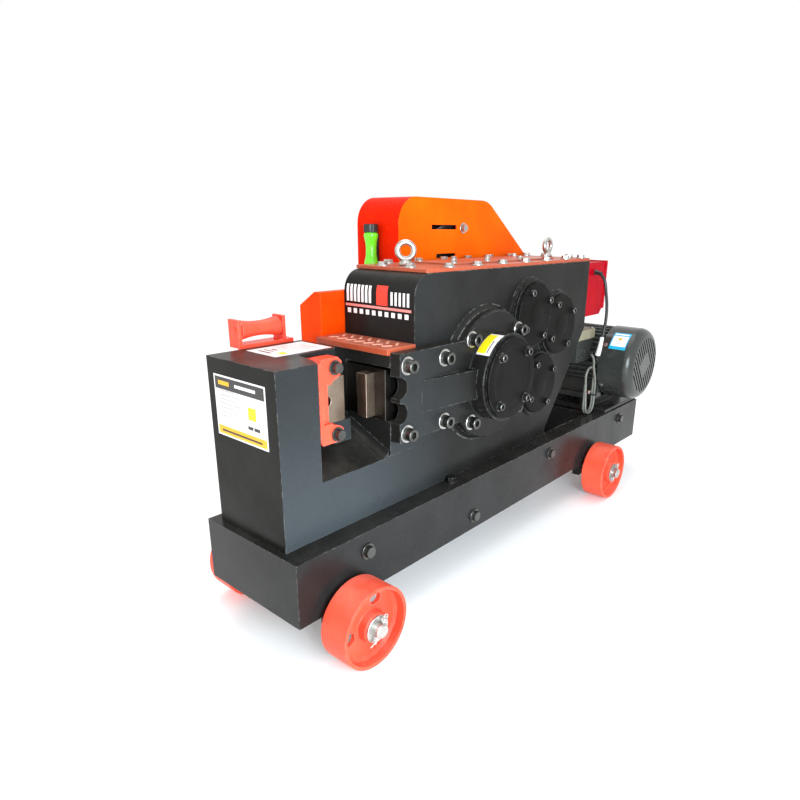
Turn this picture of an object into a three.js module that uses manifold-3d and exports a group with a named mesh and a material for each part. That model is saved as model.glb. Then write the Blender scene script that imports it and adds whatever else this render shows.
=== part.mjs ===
// Bench-type steel bar (rebar) cutter: a cast frame with an open throat, a crank-driven ram and
// a three-stage gear train, belt-driven by an electric motor, all on a wheeled sheet-steel base.
// Millimetres, +Z up. Machine coordinates: X runs from the blade end to the motor end, Y from the
// operator's side to the belt side, Z from the underside of the base tray. The exported group is
// shifted so that its origin is at the centre of the footprint, on the ground under the wheels.
import * as THREE from 'three';
import { mergeVertices } from 'three/addons/utils/BufferGeometryUtils.js';
import Module from 'manifold-3d';

const wasm = await Module();
wasm.setup();

// ---------- driving dimensions ----------
const GAP = 0.3;              // clearance between pieces that touch
const BASE = { length: 1300, width: 246, height: 114, sheet: 8, flange: 45 };
const WHEEL = { radius: 72, width: 58, centreZ: -19, faceY: -70, bore: 14 };
const WHEEL_X = [103, 1008];
const AXLE = { radius: 13, endY: -84 };
const CAST = { nearY: 41, farY: 222, wall: 14, footZ: BASE.height + GAP };
const COLUMN = { left: 13, nearRight: 93, blockNearY: 118, blockRight: 205, topZ: 408.5 };
const THROAT = { right: 249, nearZ: 211, farZ: 293 };
const HOUSING = { topZ: 397.7, right: 317 };
const GEARBOX = { right: 985, topZ: 530, kneeZ: 363, toeX: 812, toeZ: 127, noseRadius: 40 };
const RAM = { frontX: 246, rearX: 400, nearY: 46, farY: 146, lowZ: 280, highZ: 372 };
const BLADE = { length: 80, height: 80, thickness: 24, lowZ: 284 };
const CUT_PLANE_Y = 96;       // the two blades pass each other here
const MOVING_EDGE_X = 225;
const FIXED_EDGE_X = 196;
const CRANK = { x: 537, z: 319, throw: 22, pinRadius: 24, restFromBack: 57 };
const ROD = { wristX: 352, z: 323, ringX: 551, ringBore: 63, ringOuter: 77, nearY: 76, farY: 116 };
const WRIST_RADIUS = 14;
const STAGE3 = { module: 5, pinion: 18, gear: 67 };
const STAGE2 = { module: 4, pinion: 20, gear: 56 };
const STAGE1 = { module: 3, pinion: 22, gear: 59 };
const MOTOR = { x: 1190, z: 245, cowlY: -53, cowlRadius: 100, endY: 232, shaftY: 335, shaft: 14 };
const FLYWHEEL = { radius: 190, nearY: 262, farY: 306 };
const MOTOR_PULLEY_RADIUS = 58;
const BELT_CENTRES_Y = [274, 294];
const GUARD = { nearY: 240, farY: 364, sheet: 3, bottomZ: 118 };
const CONTROL = { left: GEARBOX.right + GAP, right: 1119, nearY: 60, farY: 190, lowZ: 385, highZ: 523 };
const TERMINAL = { left: 1018, right: 1112, nearY: 72, farY: 160, lowZ: 258, lidZ: 317, highZ: 345 };
const COVER_PLATE = 7;
const EYE_BOLT_X = [393, 926];
const EYE_BOLT_Y = 131;
const BUTTON_Y = 125;
const BUTTON_Z = [478, 434];  // start above stop
const CABLE_EXIT = { x: 1045, y: 52, z: 499 };
const CABLE_END = { x: 1090, y: 52, z: 259 };
const CABLE_DIAMETER = 8;
const SEAT = 1;               // room between a gland and the slanted end of its cable
const LEAD_EXIT = { x: 1055, y: 62, z: 286 };
const LEAD_DIAMETER = 6;
const HANK = { x: 1051, nearY: 34, farY: 46.2, lowZ: 114.8, highZ: 249, width: 54 };
const DEG = Math.PI / 180;

// ---------- solid helpers ----------
function solid(geometry) {
  const bare = geometry.clone();
  bare.deleteAttribute('normal');
  bare.deleteAttribute('uv');
  const merged = mergeVertices(bare, 1e-3);
  const triVerts = new Uint32Array(merged.index.array);
  const vertProperties = new Float32Array(merged.attributes.position.array);
  const body = new wasm.Manifold(new wasm.Mesh({ numProp: 3, vertProperties, triVerts }));
  if (body.volume() >= 0) return body;
  for (let i = 0; i < triVerts.length; i += 3) {
    [triVerts[i + 1], triVerts[i + 2]] = [triVerts[i + 2], triVerts[i + 1]];
  }
  return new wasm.Manifold(new wasm.Mesh({ numProp: 3, vertProperties, triVerts }));
}

function box(x0, x1, y0, y1, z0, z1) {
  const geometry = new THREE.BoxGeometry(x1 - x0, y1 - y0, z1 - z0);
  return solid(geometry.translate((x0 + x1) / 2, (y0 + y1) / 2, (z0 + z1) / 2));
}

function polygonShape(points) {
  return new THREE.Shape(points.map(([a, b]) => new THREE.Vector2(a, b)));
}

// A shape drawn in X and Z, extruded across the machine from y0 to y1.
function across(shape, y0, y1, curveSegments = 8) {
  const depth = y1 - y0;
  const geometry = new THREE.ExtrudeGeometry(shape, { depth, bevelEnabled: false, curveSegments });
  return solid(geometry.rotateX(Math.PI / 2).translate(0, y1, 0));
}

// A shape drawn in X and Y, extruded upwards from z0 to z1.
function upward(shape, z0, z1, curveSegments = 8) {
  const depth = z1 - z0;
  const geometry = new THREE.ExtrudeGeometry(shape, { depth, bevelEnabled: false, curveSegments });
  return solid(geometry.translate(0, 0, z0));
}

// A polygon drawn in Y and Z, extruded along the machine from x0 to x1.
function lengthwise(points, x0, x1) {
  const depth = x1 - x0;
  const geometry = new THREE.ExtrudeGeometry(polygonShape(points), { depth, bevelEnabled: false });
  geometry.rotateY(Math.PI / 2).rotateX(Math.PI / 2);
  return solid(geometry.translate(x0, 0, 0));
}

// A cylinder across the machine, about the line X = x, Z = z.
function roundY(radius, x, z, y0, y1, sides = 16) {
  const geometry = new THREE.CylinderGeometry(radius, radius, y1 - y0, sides);
  return solid(geometry.translate(x, (y0 + y1) / 2, z));
}

function roundX(radius, y, z, x0, x1, sides = 12) {
  const geometry = new THREE.CylinderGeometry(radius, radius, x1 - x0, sides);
  return solid(geometry.rotateZ(Math.PI / 2).translate((x0 + x1) / 2, y, z));
}

function roundZ(radius, x, y, z0, z1, sides = 12) {
  const geometry = new THREE.CylinderGeometry(radius, radius, z1 - z0, sides);
  return solid(geometry.rotateX(Math.PI / 2).translate(x, y, (z0 + z1) / 2));
}

// A turned piece: a profile of [radius, y] pairs revolved about the line X = x, Z = z.
function turned(profile, x, z, sides = 20) {
  const geometry = new THREE.LatheGeometry(profile.map(([r, y]) => new THREE.Vector2(r, y)), sides);
  return solid(geometry.translate(x, 0, z));
}

// A plain ring between two radii.
function ring(inner, outer, x, z, y0, y1, sides = 20) {
  return turned([[inner, y0], [outer, y0], [outer, y1], [inner, y1], [inner, y0]], x, z, sides);
}

// The corner radius of a faceted bore whose flats stay clear of a turning shaft.
function boreFor(radius, sides = 16) {
  return (radius + GAP) / Math.cos(Math.PI / sides);
}

function joined(...bodies) {
  return bodies.reduce((sum, body) => sum.add(body));
}

const assembly = new THREE.Group();

function addPiece(name, body, material) {
  const raw = body.getMesh();
  const geometry = new THREE.BufferGeometry();
  geometry.setAttribute('position', new THREE.BufferAttribute(new Float32Array(raw.vertProperties), 3));
  geometry.setIndex(new THREE.BufferAttribute(new Uint32Array(raw.triVerts), 1));
  geometry.computeVertexNormals();
  const mesh = new THREE.Mesh(geometry, material);
  mesh.name = name;
  assembly.add(mesh);
}

// ---------- finishes ----------
function finish(color, roughness, metalness) {
  return new THREE.MeshStandardMaterial({ color, roughness, metalness });
}
const blackPaint = finish(0x1d2024, 0.4, 0.2);
const orangePaint = finish(0xf26a12, 0.4, 0.1);
const coverPaint = finish(0xe8683a, 0.45, 0.1);
const redPaint = finish(0xe8432c, 0.45, 0.1);
const boxPaint = finish(0xe01030, 0.4, 0.1);
const steel = finish(0x9a9a98, 0.35, 0.9);
const toolSteel = finish(0x8a7462, 0.4, 0.8);
const zinc = finish(0xd8dade, 0.3, 0.9);
const castGrey = finish(0x4a4d4e, 0.5, 0.4);
const motorPaint = finish(0x34393a, 0.35, 0.3);
const beigePlastic = finish(0xb9ac93, 0.6, 0);
const greenPlastic = finish(0x6ee01c, 0.3, 0);
const redPlastic = finish(0xd01818, 0.3, 0);
const bronze = finish(0xa87838, 0.4, 0.8);
const blackRubber = finish(0x151515, 0.8, 0);
const greyRubber = finish(0x8c8c86, 0.7, 0);

// ---------- gears ----------
// Straight-flanked teeth with working backlash; one tooth is centred on the given angle.
function gearBody(module, teeth, angle, bore, x, z, y0, y1) {
  const pitch = module * teeth / 2;
  const tip = pitch + 0.85 * module;
  const root = pitch - 1.2 * module;
  const step = 2 * Math.PI / teeth;
  const halfRoot = 0.30 * step;
  const halfTip = 0.125 * step;
  const points = [];
  for (let tooth = 0; tooth < teeth; tooth += 1) {
    const centre = angle + tooth * step;
    for (const [radius, offset] of [[root, -halfRoot], [tip, -halfTip], [tip, halfTip], [root, halfRoot]]) {
      points.push([x + radius * Math.cos(centre + offset), z + radius * Math.sin(centre + offset)]);
    }
  }
  const blank = across(polygonShape(points), y0, y1);
  return bore > 0 ? blank.subtract(roundY(bore, x, z, y0 - 1, y1 + 1, 20)) : blank;
}

// Where the next shaft sits when its gear meshes at a given direction.
function meshedShaft(from, stage, angle) {
  const distance = stage.module * (stage.pinion + stage.gear) / 2;
  return { x: from.x + distance * Math.cos(angle), z: from.z + distance * Math.sin(angle) };
}

const angle3 = Math.atan2(262 - 319, 741 - 537);    // crank to second shaft
const angle2 = Math.atan2(393 - 262, 821 - 741);    // second to third shaft
const angle1 = Math.atan2(427 - 393, 705 - 821);    // third to input shaft
const SECOND = meshedShaft(CRANK, STAGE3, angle3);
const THIRD = meshedShaft(SECOND, STAGE2, angle2);
const INPUT = meshedShaft(THIRD, STAGE1, angle1);
const GEAR_Y = { stage3: [155, 197], stage2: [121, 149], stage1: [60, 86] };
const SHAFT_RADIUS = { crankNear: 32, crankFar: 35, second: 22, third: 18, input: 18 };
const BEARING_RADIUS = { crankNear: 44, crankFar: 47, second: 42, third: 36, input: 36 };
const FAR_POCKET_Y = 231;
const FAR_BOSS_Y = 236;

// ---------- base and wheels ----------
function makeBase() {
  const { length, width, height, sheet, flange } = BASE;
  let tray = box(0, length, 0, width, 0, height);
  tray = tray.subtract(box(sheet, length - sheet, sheet, width - sheet, -1, height - sheet));
  tray = tray.subtract(box(30, length - 40, flange, width - flange, height - sheet - 1, height + 1));
  for (const x of [400, 840, 1080]) {
    tray = tray.add(box(x, x + sheet, sheet - 1, width - sheet + 1, 20, height - sheet + 1));
  }
  for (const x of WHEEL_X) {
    for (const y of [14, width - 34]) {
      const hanger = box(x - 32, x + 32, y, y + 20, WHEEL.centreZ - 22, height - sheet + 1);
      tray = tray.add(hanger).subtract(roundY(AXLE.radius + GAP, x, WHEEL.centreZ, y - 1, y + 21));
    }
  }
  addPiece('base_tray', tray, blackPaint);
}

function makeWheelSet(name, x) {
  const axle = roundY(AXLE.radius, x, WHEEL.centreZ, AXLE.endY, BASE.width - AXLE.endY);
  addPiece(`${name}_axle`, axle, steel);
  const { radius, width, faceY, bore, centreZ } = WHEEL;
  const inner = faceY + width;
  const profile = [[bore, faceY + 2], [26, faceY + 2], [26, faceY + 20], [radius - 7, faceY + 20],
    [radius - 7, faceY], [radius, faceY], [radius, inner], [radius - 7, inner],
    [radius - 7, faceY + 28], [26, faceY + 28], [26, inner], [bore, inner], [bore, faceY + 2]];
  let wheel = turned(profile, x, centreZ, 24);
  for (let hole = 0; hole < 3; hole += 1) {
    const turn = (70 + 120 * hole) * DEG;
    const holeX = x + 45 * Math.cos(turn);
    const holeZ = centreZ + 45 * Math.sin(turn);
    wheel = wheel.subtract(roundY(11, holeX, holeZ, faceY + 10, faceY + 40, 8));
  }
  addPiece(`${name}_wheel_near`, wheel, redPaint);
  const middle = BASE.width / 2;
  const mirrored = wheel.mirror([0, 1, 0]).translate([0, 2 * middle, 0]);
  addPiece(`${name}_wheel_far`, mirrored, redPaint);
}

// ---------- cast frame ----------
function gearboxOutline(inset) {
  const { right, topZ, kneeZ, toeX, toeZ, noseRadius } = GEARBOX;
  const left = HOUSING.right + inset;
  const radius = noseRadius - inset;
  const top = inset > 0 ? topZ + 5 : topZ;
  const slope = new THREE.Vector2(right - toeX, kneeZ - toeZ).normalize();
  const shiftX = inset * slope.y;
  const shiftZ = -inset * slope.x;
  const low = CAST.footZ + inset;
  const shape = new THREE.Shape();
  shape.moveTo(left, low);
  shape.lineTo(toeX - shiftX, low);
  shape.lineTo(toeX - shiftX, Math.max(low, toeZ - shiftZ));
  shape.lineTo(right - inset, kneeZ - shiftZ + (shiftX - inset) * slope.y / slope.x);
  shape.lineTo(right - inset, top);
  if (inset > 0) {
    shape.lineTo(left + radius, top);
    shape.lineTo(left + radius, topZ - inset);
  } else {
    shape.lineTo(left + radius, top);
  }
  shape.absarc(left + radius, topZ - inset - radius, radius, Math.PI / 2, Math.PI, false);
  return shape;
}

function makeCasting() {
  const { nearY, farY, wall, footZ } = CAST;
  const { left, nearRight, blockNearY, blockRight, topZ } = COLUMN;
  const corner = 14;
  const plan = polygonShape([[left, nearY], [nearRight, nearY], [nearRight + 9, nearY + 20],
    [nearRight + 22, blockNearY], [blockRight - corner, blockNearY],
    [blockRight - 0.29 * corner, blockNearY + 0.29 * corner], [blockRight, blockNearY + corner],
    [blockRight, farY], [left, farY]]);
  let frame = upward(plan, footZ, topZ);
  const web = lengthwise([[nearY, footZ], [farY, footZ], [farY, THROAT.farZ], [nearY, THROAT.nearZ]],
    nearRight - 2, THROAT.right + 2);
  frame = frame.add(web);
  frame = frame.add(box(nearRight - 10, nearRight + 12, nearY, blockNearY + 5, footZ, THROAT.nearZ - 6));
  frame = frame.add(box(THROAT.right, HOUSING.right + 2, nearY - 4, farY + 1, footZ + 100, HOUSING.topZ));
  frame = frame.add(box(THROAT.right, HOUSING.right + 2, nearY, farY, footZ, footZ + 101));
  frame = frame.add(across(gearboxOutline(0), nearY, farY, 6));
  frame = frame.add(box(170, 209.5, CUT_PLANE_Y + 1, blockNearY + 1, 244, BLADE.lowZ - GAP));
  for (const [shaft, radius] of [[SECOND, 75], [THIRD, 76], [INPUT, 76]]) {
    frame = frame.add(roundY(radius, shaft.x, shaft.z, 28, nearY + 1, 28));
  }
  for (const [shaft, radius] of [[CRANK, 70], [SECOND, 62], [THIRD, 56], [INPUT, 56]]) {
    frame = frame.add(roundY(radius, shaft.x, shaft.z, farY - 1, FAR_BOSS_Y, 16));
  }
  frame = frame.subtract(across(gearboxOutline(wall - 2), nearY + wall, farY - wall, 6));
  frame = frame.subtract(box(THROAT.right - 5, 425, nearY - 5, RAM.farY + 2, RAM.lowZ - 1, RAM.highZ + 4));
  frame = frame.subtract(roundY(104, CRANK.x, CRANK.z, nearY - 5, nearY + wall + 1, 24));
  for (const [key, shaft] of [['second', SECOND], ['third', THIRD], ['input', INPUT]]) {
    const seat = BEARING_RADIUS[key];
    frame = frame.subtract(roundY(seat, shaft.x, shaft.z, 20, nearY + wall + 1, 20));
    frame = frame.subtract(roundY(seat, shaft.x, shaft.z, farY - wall - 1, FAR_POCKET_Y, 20));
  }
  const crankSeat = BEARING_RADIUS.crankFar;
  frame = frame.subtract(roundY(crankSeat, CRANK.x, CRANK.z, farY - wall - 1, FAR_POCKET_Y, 20));
  frame = frame.subtract(roundY(24, INPUT.x, INPUT.z, FAR_POCKET_Y - 1, FAR_BOSS_Y + 1));
  addPiece('main_casting', frame, blackPaint);
}

// The ribbed cast plate that closes the ram channel and carries the near crank bearing.
function makeSidePlate() {
  const near = 14.4;
  const far = CAST.nearY - GAP - 4;
  const flange = roundY(133, CRANK.x, CRANK.z, near, CAST.nearY - GAP, 32);
  const foot = box(250, 470, near, far, 243, 403);
  let plate = joined(flange, foot, box(HOUSING.right + 3, 480, far - 1, CAST.nearY - GAP, 243, 403));
  const ramp = polygonShape([[308, near + 1], [308, near - 0.5], [446, -5], [537, -9], [537, near + 1]]);
  plate = plate.add(upward(ramp, 288, 347)).add(roundY(90, CRANK.x, CRANK.z, -22, near + 1, 28));
  for (const z of [343, 297]) {
    plate = plate.subtract(roundY(19, 250, z, near - 1, far + 6, 12));
  }
  for (const shaft of [SECOND, INPUT]) {
    plate = plate.subtract(roundY(78, shaft.x, shaft.z, near - 1, CAST.nearY + 1, 28));
  }
  plate = plate.subtract(roundY(BEARING_RADIUS.crankNear, CRANK.x, CRANK.z, -23, CAST.nearY + 1, 20));
  addPiece('side_plate', plate, blackPaint);
  const back = -22 - GAP;
  const disc = [[0, -30], [62, -30], [62, -32], [80, -32], [83, -30], [83, back], [0, back]];
  addPiece('crank_cover', turned(disc, CRANK.x, CRANK.z, 28), blackPaint);
}

// Disc covers over the three small near-side bearings; two of them meet along a straight edge.
function makeBearingCovers() {
  function disc(shaft) {
    const back = 28 - GAP;
    const profile = [[0, 17], [24, 17], [28, 20], [66, 20], [70, 22], [70, back], [0, back]];
    return turned(profile, shaft.x, shaft.z, 24);
  }
  const midX = (THIRD.x + INPUT.x) / 2;
  const midZ = (THIRD.z + INPUT.z) / 2;
  const along = Math.atan2(THIRD.z - INPUT.z, THIRD.x - INPUT.x);
  function halfSpace(side) {
    const size = 120;
    const cutter = new THREE.BoxGeometry(size, 40, 2 * size).translate(side * (size / 2 - GAP), 22, 0);
    return solid(cutter.rotateY(-along).translate(midX, 0, midZ));
  }
  addPiece('second_shaft_cover', disc(SECOND), blackPaint);
  addPiece('third_shaft_cover', disc(THIRD).subtract(halfSpace(-1)), blackPaint);
  addPiece('input_shaft_cover', disc(INPUT).subtract(halfSpace(1)), blackPaint);
}

function makeTopCovers() {
  const z = GEARBOX.topZ + GAP;
  let cover = box(352, GEARBOX.right + 2, CAST.nearY + 2, CAST.farY + 2, z, z + COVER_PLATE);
  cover = cover.add(box(470, 860, 75, 190, z + 6, z + 11));
  for (const x of EYE_BOLT_X) {
    cover = cover.subtract(roundZ(8 + GAP, x, EYE_BOLT_Y, z - 1, z + 12, 12));
  }
  addPiece('top_cover', cover, coverPaint);
  const lid = HOUSING.topZ + GAP;
  const ramCover = box(243, HOUSING.right - GAP, 37, CAST.farY + 1, lid, 409);
  addPiece('ram_cover', ramCover, coverPaint);
}

function makeEyeBolts() {
  ['front', 'rear'].forEach((place, index) => {
    const x = EYE_BOLT_X[index];
    const seatZ = GEARBOX.topZ + COVER_PLATE + 2 * GAP;
    const loop = new THREE.TorusGeometry(15.5, 5, 6, 16).rotateX(Math.PI / 2);
    const eye = solid(loop.rotateZ((index ? 0 : -45) * DEG).translate(x, EYE_BOLT_Y, seatZ + 28));
    const collar = roundZ(13, x, EYE_BOLT_Y, seatZ, seatZ + 9, 12);
    const shank = roundZ(8, x, EYE_BOLT_Y, seatZ - 22, seatZ + 12, 12);
    addPiece(`eye_bolt_${place}`, joined(eye, collar, shank), zinc);
  });
}

// ---------- blades and ram ----------
function makeBlades() {
  const { length, height, thickness, lowZ } = BLADE;
  const farFace = COLUMN.blockNearY - GAP;
  let fixed = box(FIXED_EDGE_X - length, FIXED_EDGE_X, CUT_PLANE_Y + GAP, farFace, lowZ, lowZ + height);
  const fixedHoleX = FIXED_EDGE_X - length / 2;
  const holeZ = lowZ + height / 2;
  fixed = fixed.subtract(roundY(9, fixedHoleX, holeZ, CUT_PLANE_Y - 1, farFace + 1, 12));
  addPiece('fixed_blade', fixed, toolSteel);
  const nearFace = CUT_PLANE_Y - thickness;
  let moving = box(MOVING_EDGE_X, MOVING_EDGE_X + length, nearFace, CUT_PLANE_Y - GAP, lowZ, lowZ + height);
  const movingHoleX = MOVING_EDGE_X + length / 2;
  moving = moving.subtract(roundY(9, movingHoleX, holeZ, nearFace - 1, CUT_PLANE_Y + 1, 12));
  addPiece('moving_blade', moving, toolSteel);
}

// A C-shaped clamp with two eared bolts holds the fixed blade against the column.
function makeBladeClamp() {
  const near = 70;
  const far = CUT_PLANE_Y - GAP;
  const outline = polygonShape([[122, 259], [160, 259], [168, 265], [168, 281], [160, 287],
    [147, 290], [143, 295], [143, 360], [147, 366], [160, 371], [168, 378], [168, 397],
    [160, 405], [126, 405], [119, 397], [118, 388], [118, 266]]);
  let clamp = across(outline, near, far);
  clamp = clamp.subtract(box(126, 144, near - 1, near + 8, 294, 361));
  const back = COLUMN.blockNearY - GAP;
  clamp = clamp.add(box(128, 166, far - 1, back, 262, BLADE.lowZ - GAP));
  clamp = clamp.add(box(128, 166, far - 1, back, BLADE.lowZ + BLADE.height + GAP, 400));
  addPiece('blade_clamp', clamp, redPaint);
}

function makeRam() {
  const { frontX, rearX, nearY, farY, lowZ, highZ } = RAM;
  const { length, height, thickness, lowZ: bladeLow } = BLADE;
  let ram = box(frontX, rearX, nearY, farY, lowZ, highZ);
  const pocketRear = MOVING_EDGE_X + length + GAP;
  ram = ram.subtract(box(frontX - 1, pocketRear, CUT_PLANE_Y - thickness - GAP, CUT_PLANE_Y,
    bladeLow - GAP, bladeLow + height + GAP));
  const slotFront = ROD.wristX - 26;
  ram = ram.subtract(box(slotFront, rearX + 1, ROD.nearY - 1, ROD.farY + 1, lowZ - 1, highZ + 1));
  ram = ram.subtract(roundY(WRIST_RADIUS + GAP, ROD.wristX, ROD.z, nearY - 1, farY + 1, 16));
  addPiece('ram', ram, steel);
  addPiece('wrist_pin', roundY(WRIST_RADIUS, ROD.wristX, ROD.z, nearY + 3, farY - 3), steel);
}

function makeConnectingRod() {
  const { wristX, z, ringX, ringBore, ringOuter, nearY, farY } = ROD;
  const taper = [[wristX, z - 15], [ringX - 60, z - 24], [ringX - 60, z + 24], [wristX, z + 15]];
  const shank = across(polygonShape(taper), nearY + 8, farY - 8);
  let rod = joined(roundY(24, wristX, z, nearY, farY), shank, roundY(ringOuter, ringX, z, nearY, farY, 24));
  rod = rod.subtract(roundY(ringBore, ringX, z, nearY - 1, farY + 1, 24));
  rod = rod.subtract(roundY(boreFor(WRIST_RADIUS), wristX, z, nearY - 1, farY + 1));
  addPiece('connecting_rod', rod, castGrey);
}

// ---------- crankshaft and gear train ----------
function makeCrankshaft() {
  const { x, z, throw: offset, pinRadius, restFromBack } = CRANK;
  const { crankNear, crankFar } = SHAFT_RADIUS;
  const end = FAR_POCKET_Y - 1;
  const near = turned([[0, -20], [crankNear, -20], [crankNear, 58], [56, 58], [56, 72], [0, 72]], x, z);
  const far = turned([[0, 118], [crankFar + 14, 118], [crankFar + 14, 150], [crankFar, 150],
    [crankFar, end], [0, end]], x, z);
  const pinX = x + offset * Math.cos(restFromBack * DEG);
  const pinZ = z + offset * Math.sin(restFromBack * DEG);
  addPiece('crankshaft', joined(near, far, roundY(pinRadius, pinX, pinZ, 70, 120, 20)), steel);
}

function makePinionShaft(name, shaft, radius, stage, teethY, angle, y0, y1) {
  const body = roundY(radius, shaft.x, shaft.z, y0, y1, 20);
  const teeth = gearBody(stage.module, stage.pinion, angle, 0, shaft.x, shaft.z, ...teethY);
  addPiece(name, body.add(teeth), steel);
}

// A plain disc gear, bored for its shaft.
function makeGear(name, shaft, shaftRadius, stage, teethY, angle) {
  const bore = boreFor(shaftRadius, 20);
  const gear = gearBody(stage.module, stage.gear, angle, bore, shaft.x, shaft.z, ...teethY);
  addPiece(name, gear, castGrey);
}

function makeGearTrain() {
  const halfTooth = (teeth) => Math.PI / teeth;
  makeGear('crank_gear', CRANK, SHAFT_RADIUS.crankFar, STAGE3, GEAR_Y.stage3, angle3);
  makePinionShaft('second_shaft', SECOND, SHAFT_RADIUS.second, STAGE3, [153, 199],
    angle3 + Math.PI + halfTooth(STAGE3.pinion), 34, FAR_POCKET_Y - 1);
  makeGear('second_gear', SECOND, SHAFT_RADIUS.second, STAGE2, GEAR_Y.stage2, angle2);
  makePinionShaft('third_shaft', THIRD, SHAFT_RADIUS.third, STAGE2, [119, 151],
    angle2 + Math.PI + halfTooth(STAGE2.pinion), 34, FAR_POCKET_Y - 1);
  makeGear('third_gear', THIRD, SHAFT_RADIUS.third, STAGE1, GEAR_Y.stage1, angle1);
  makePinionShaft('input_shaft', INPUT, SHAFT_RADIUS.input, STAGE1, [58, 88],
    angle1 + Math.PI + halfTooth(STAGE1.pinion), 34, FLYWHEEL.farY + 8);
}

function makeBearings() {
  const sides = 20;
  for (const [key, shaft] of [['second', SECOND], ['third', THIRD], ['input', INPUT]]) {
    const outer = BEARING_RADIUS[key] - GAP;
    const inner = boreFor(SHAFT_RADIUS[key], sides);
    const farEnd = FAR_POCKET_Y - 2;
    addPiece(`${key}_bearing_near`, ring(inner, outer, shaft.x, shaft.z, 32, 54, sides), steel);
    addPiece(`${key}_bearing_far`, ring(inner, outer, shaft.x, shaft.z, 209, farEnd, sides), steel);
  }
  addPiece('crank_bush_near', ring(boreFor(SHAFT_RADIUS.crankNear, sides), BEARING_RADIUS.crankNear - GAP,
    CRANK.x, CRANK.z, -18, CAST.nearY - 1, sides), bronze);
  addPiece('crank_bush_far', ring(boreFor(SHAFT_RADIUS.crankFar, sides), BEARING_RADIUS.crankFar - GAP,
    CRANK.x, CRANK.z, 204, FAR_POCKET_Y - 2, sides), bronze);
}

// ---------- belt drive ----------
const GROOVE = { depth: 13, halfWidth: 7 };

// A pulley rim profile with a rectangular groove for each belt.
function grooveProfile(radius) {
  const points = [[radius, FLYWHEEL.nearY]];
  for (const y of BELT_CENTRES_Y) {
    const low = radius - GROOVE.depth;
    points.push([radius, y - GROOVE.halfWidth], [low, y - GROOVE.halfWidth]);
    points.push([low, y + GROOVE.halfWidth], [radius, y + GROOVE.halfWidth]);
  }
  points.push([radius, FLYWHEEL.farY]);
  return points;
}

function makePulleys() {
  const { radius, nearY, farY } = FLYWHEEL;
  const bore = boreFor(SHAFT_RADIUS.input, 20);
  const inside = radius - GROOVE.depth - 12;
  const web = [nearY + 14, farY - 14];
  let flywheel = turned([[bore, nearY - 8], [40, nearY - 8], [40, web[0]], [inside, web[0]],
    [inside, nearY], ...grooveProfile(radius), [inside, farY], [inside, web[1]], [40, web[1]],
    [40, farY + 2], [bore, farY + 2], [bore, nearY - 8]], INPUT.x, INPUT.z, 28);
  for (let hole = 0; hole < 6; hole += 1) {
    const turn = 60 * hole * DEG;
    const holeX = INPUT.x + 100 * Math.cos(turn);
    const holeZ = INPUT.z + 100 * Math.sin(turn);
    flywheel = flywheel.subtract(roundY(30, holeX, holeZ, nearY + 10, farY - 10, 8));
  }
  addPiece('flywheel_pulley', flywheel, castGrey);
  const shaft = boreFor(MOTOR.shaft, 20);
  const small = turned([[shaft, nearY - 6], [30, nearY - 6], [30, nearY],
    ...grooveProfile(MOTOR_PULLEY_RADIUS), [shaft, farY], [shaft, nearY - 6]], MOTOR.x, MOTOR.z, 20);
  addPiece('motor_pulley', small, castGrey);
}

// The outline of a loop round both pulleys at a given height above the groove bottoms.
function beltOutline(rise) {
  const big = FLYWHEEL.radius - GROOVE.depth + rise;
  const small = MOTOR_PULLEY_RADIUS - GROOVE.depth + rise;
  const dx = MOTOR.x - INPUT.x;
  const dz = MOTOR.z - INPUT.z;
  const lean = Math.atan2(dz, dx);
  const wrap = Math.acos((big - small) / Math.hypot(dx, dz));
  const points = [];
  const bigSteps = 28;
  for (let i = 0; i <= bigSteps; i += 1) {
    const turn = lean + wrap + (2 * Math.PI - 2 * wrap) * i / bigSteps;
    points.push([INPUT.x + big * Math.cos(turn), INPUT.z + big * Math.sin(turn)]);
  }
  const smallSteps = 10;
  for (let i = 0; i <= smallSteps; i += 1) {
    const turn = lean - wrap + 2 * wrap * i / smallSteps;
    points.push([MOTOR.x + small * Math.cos(turn), MOTOR.z + small * Math.sin(turn)]);
  }
  return polygonShape(points);
}

function makeBelts() {
  const halfWidth = 6.2;
  BELT_CENTRES_Y.forEach((y, index) => {
    const outer = across(beltOutline(10.5), y - halfWidth, y + halfWidth);
    const inner = across(beltOutline(2), y - halfWidth - 1, y + halfWidth + 1);
    addPiece(`v_belt_${index + 1}`, outer.subtract(inner), blackRubber);
  });
}

function guardShape(inset) {
  const { bottomZ } = GUARD;
  const left = 491 + inset;
  const top = 670 - inset;
  const right = 1296 - inset;
  const radius = 57 - inset;
  const low = inset > 0 ? bottomZ - 1 : bottomZ;
  const shape = new THREE.Shape();
  shape.moveTo(left, low);
  shape.lineTo(right, low);
  shape.lineTo(right, 318 - 0.5 * inset);
  shape.lineTo(1262 - 0.5 * inset, 351 - inset);
  shape.lineTo(836 - 0.5 * inset, 654 - inset);
  shape.quadraticCurveTo(816 - 0.4 * inset, top, 788 - 0.3 * inset, top);
  shape.lineTo(left + radius, top);
  shape.absarc(left + radius, top - radius, radius, Math.PI / 2, Math.PI, false);
  return shape;
}

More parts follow.
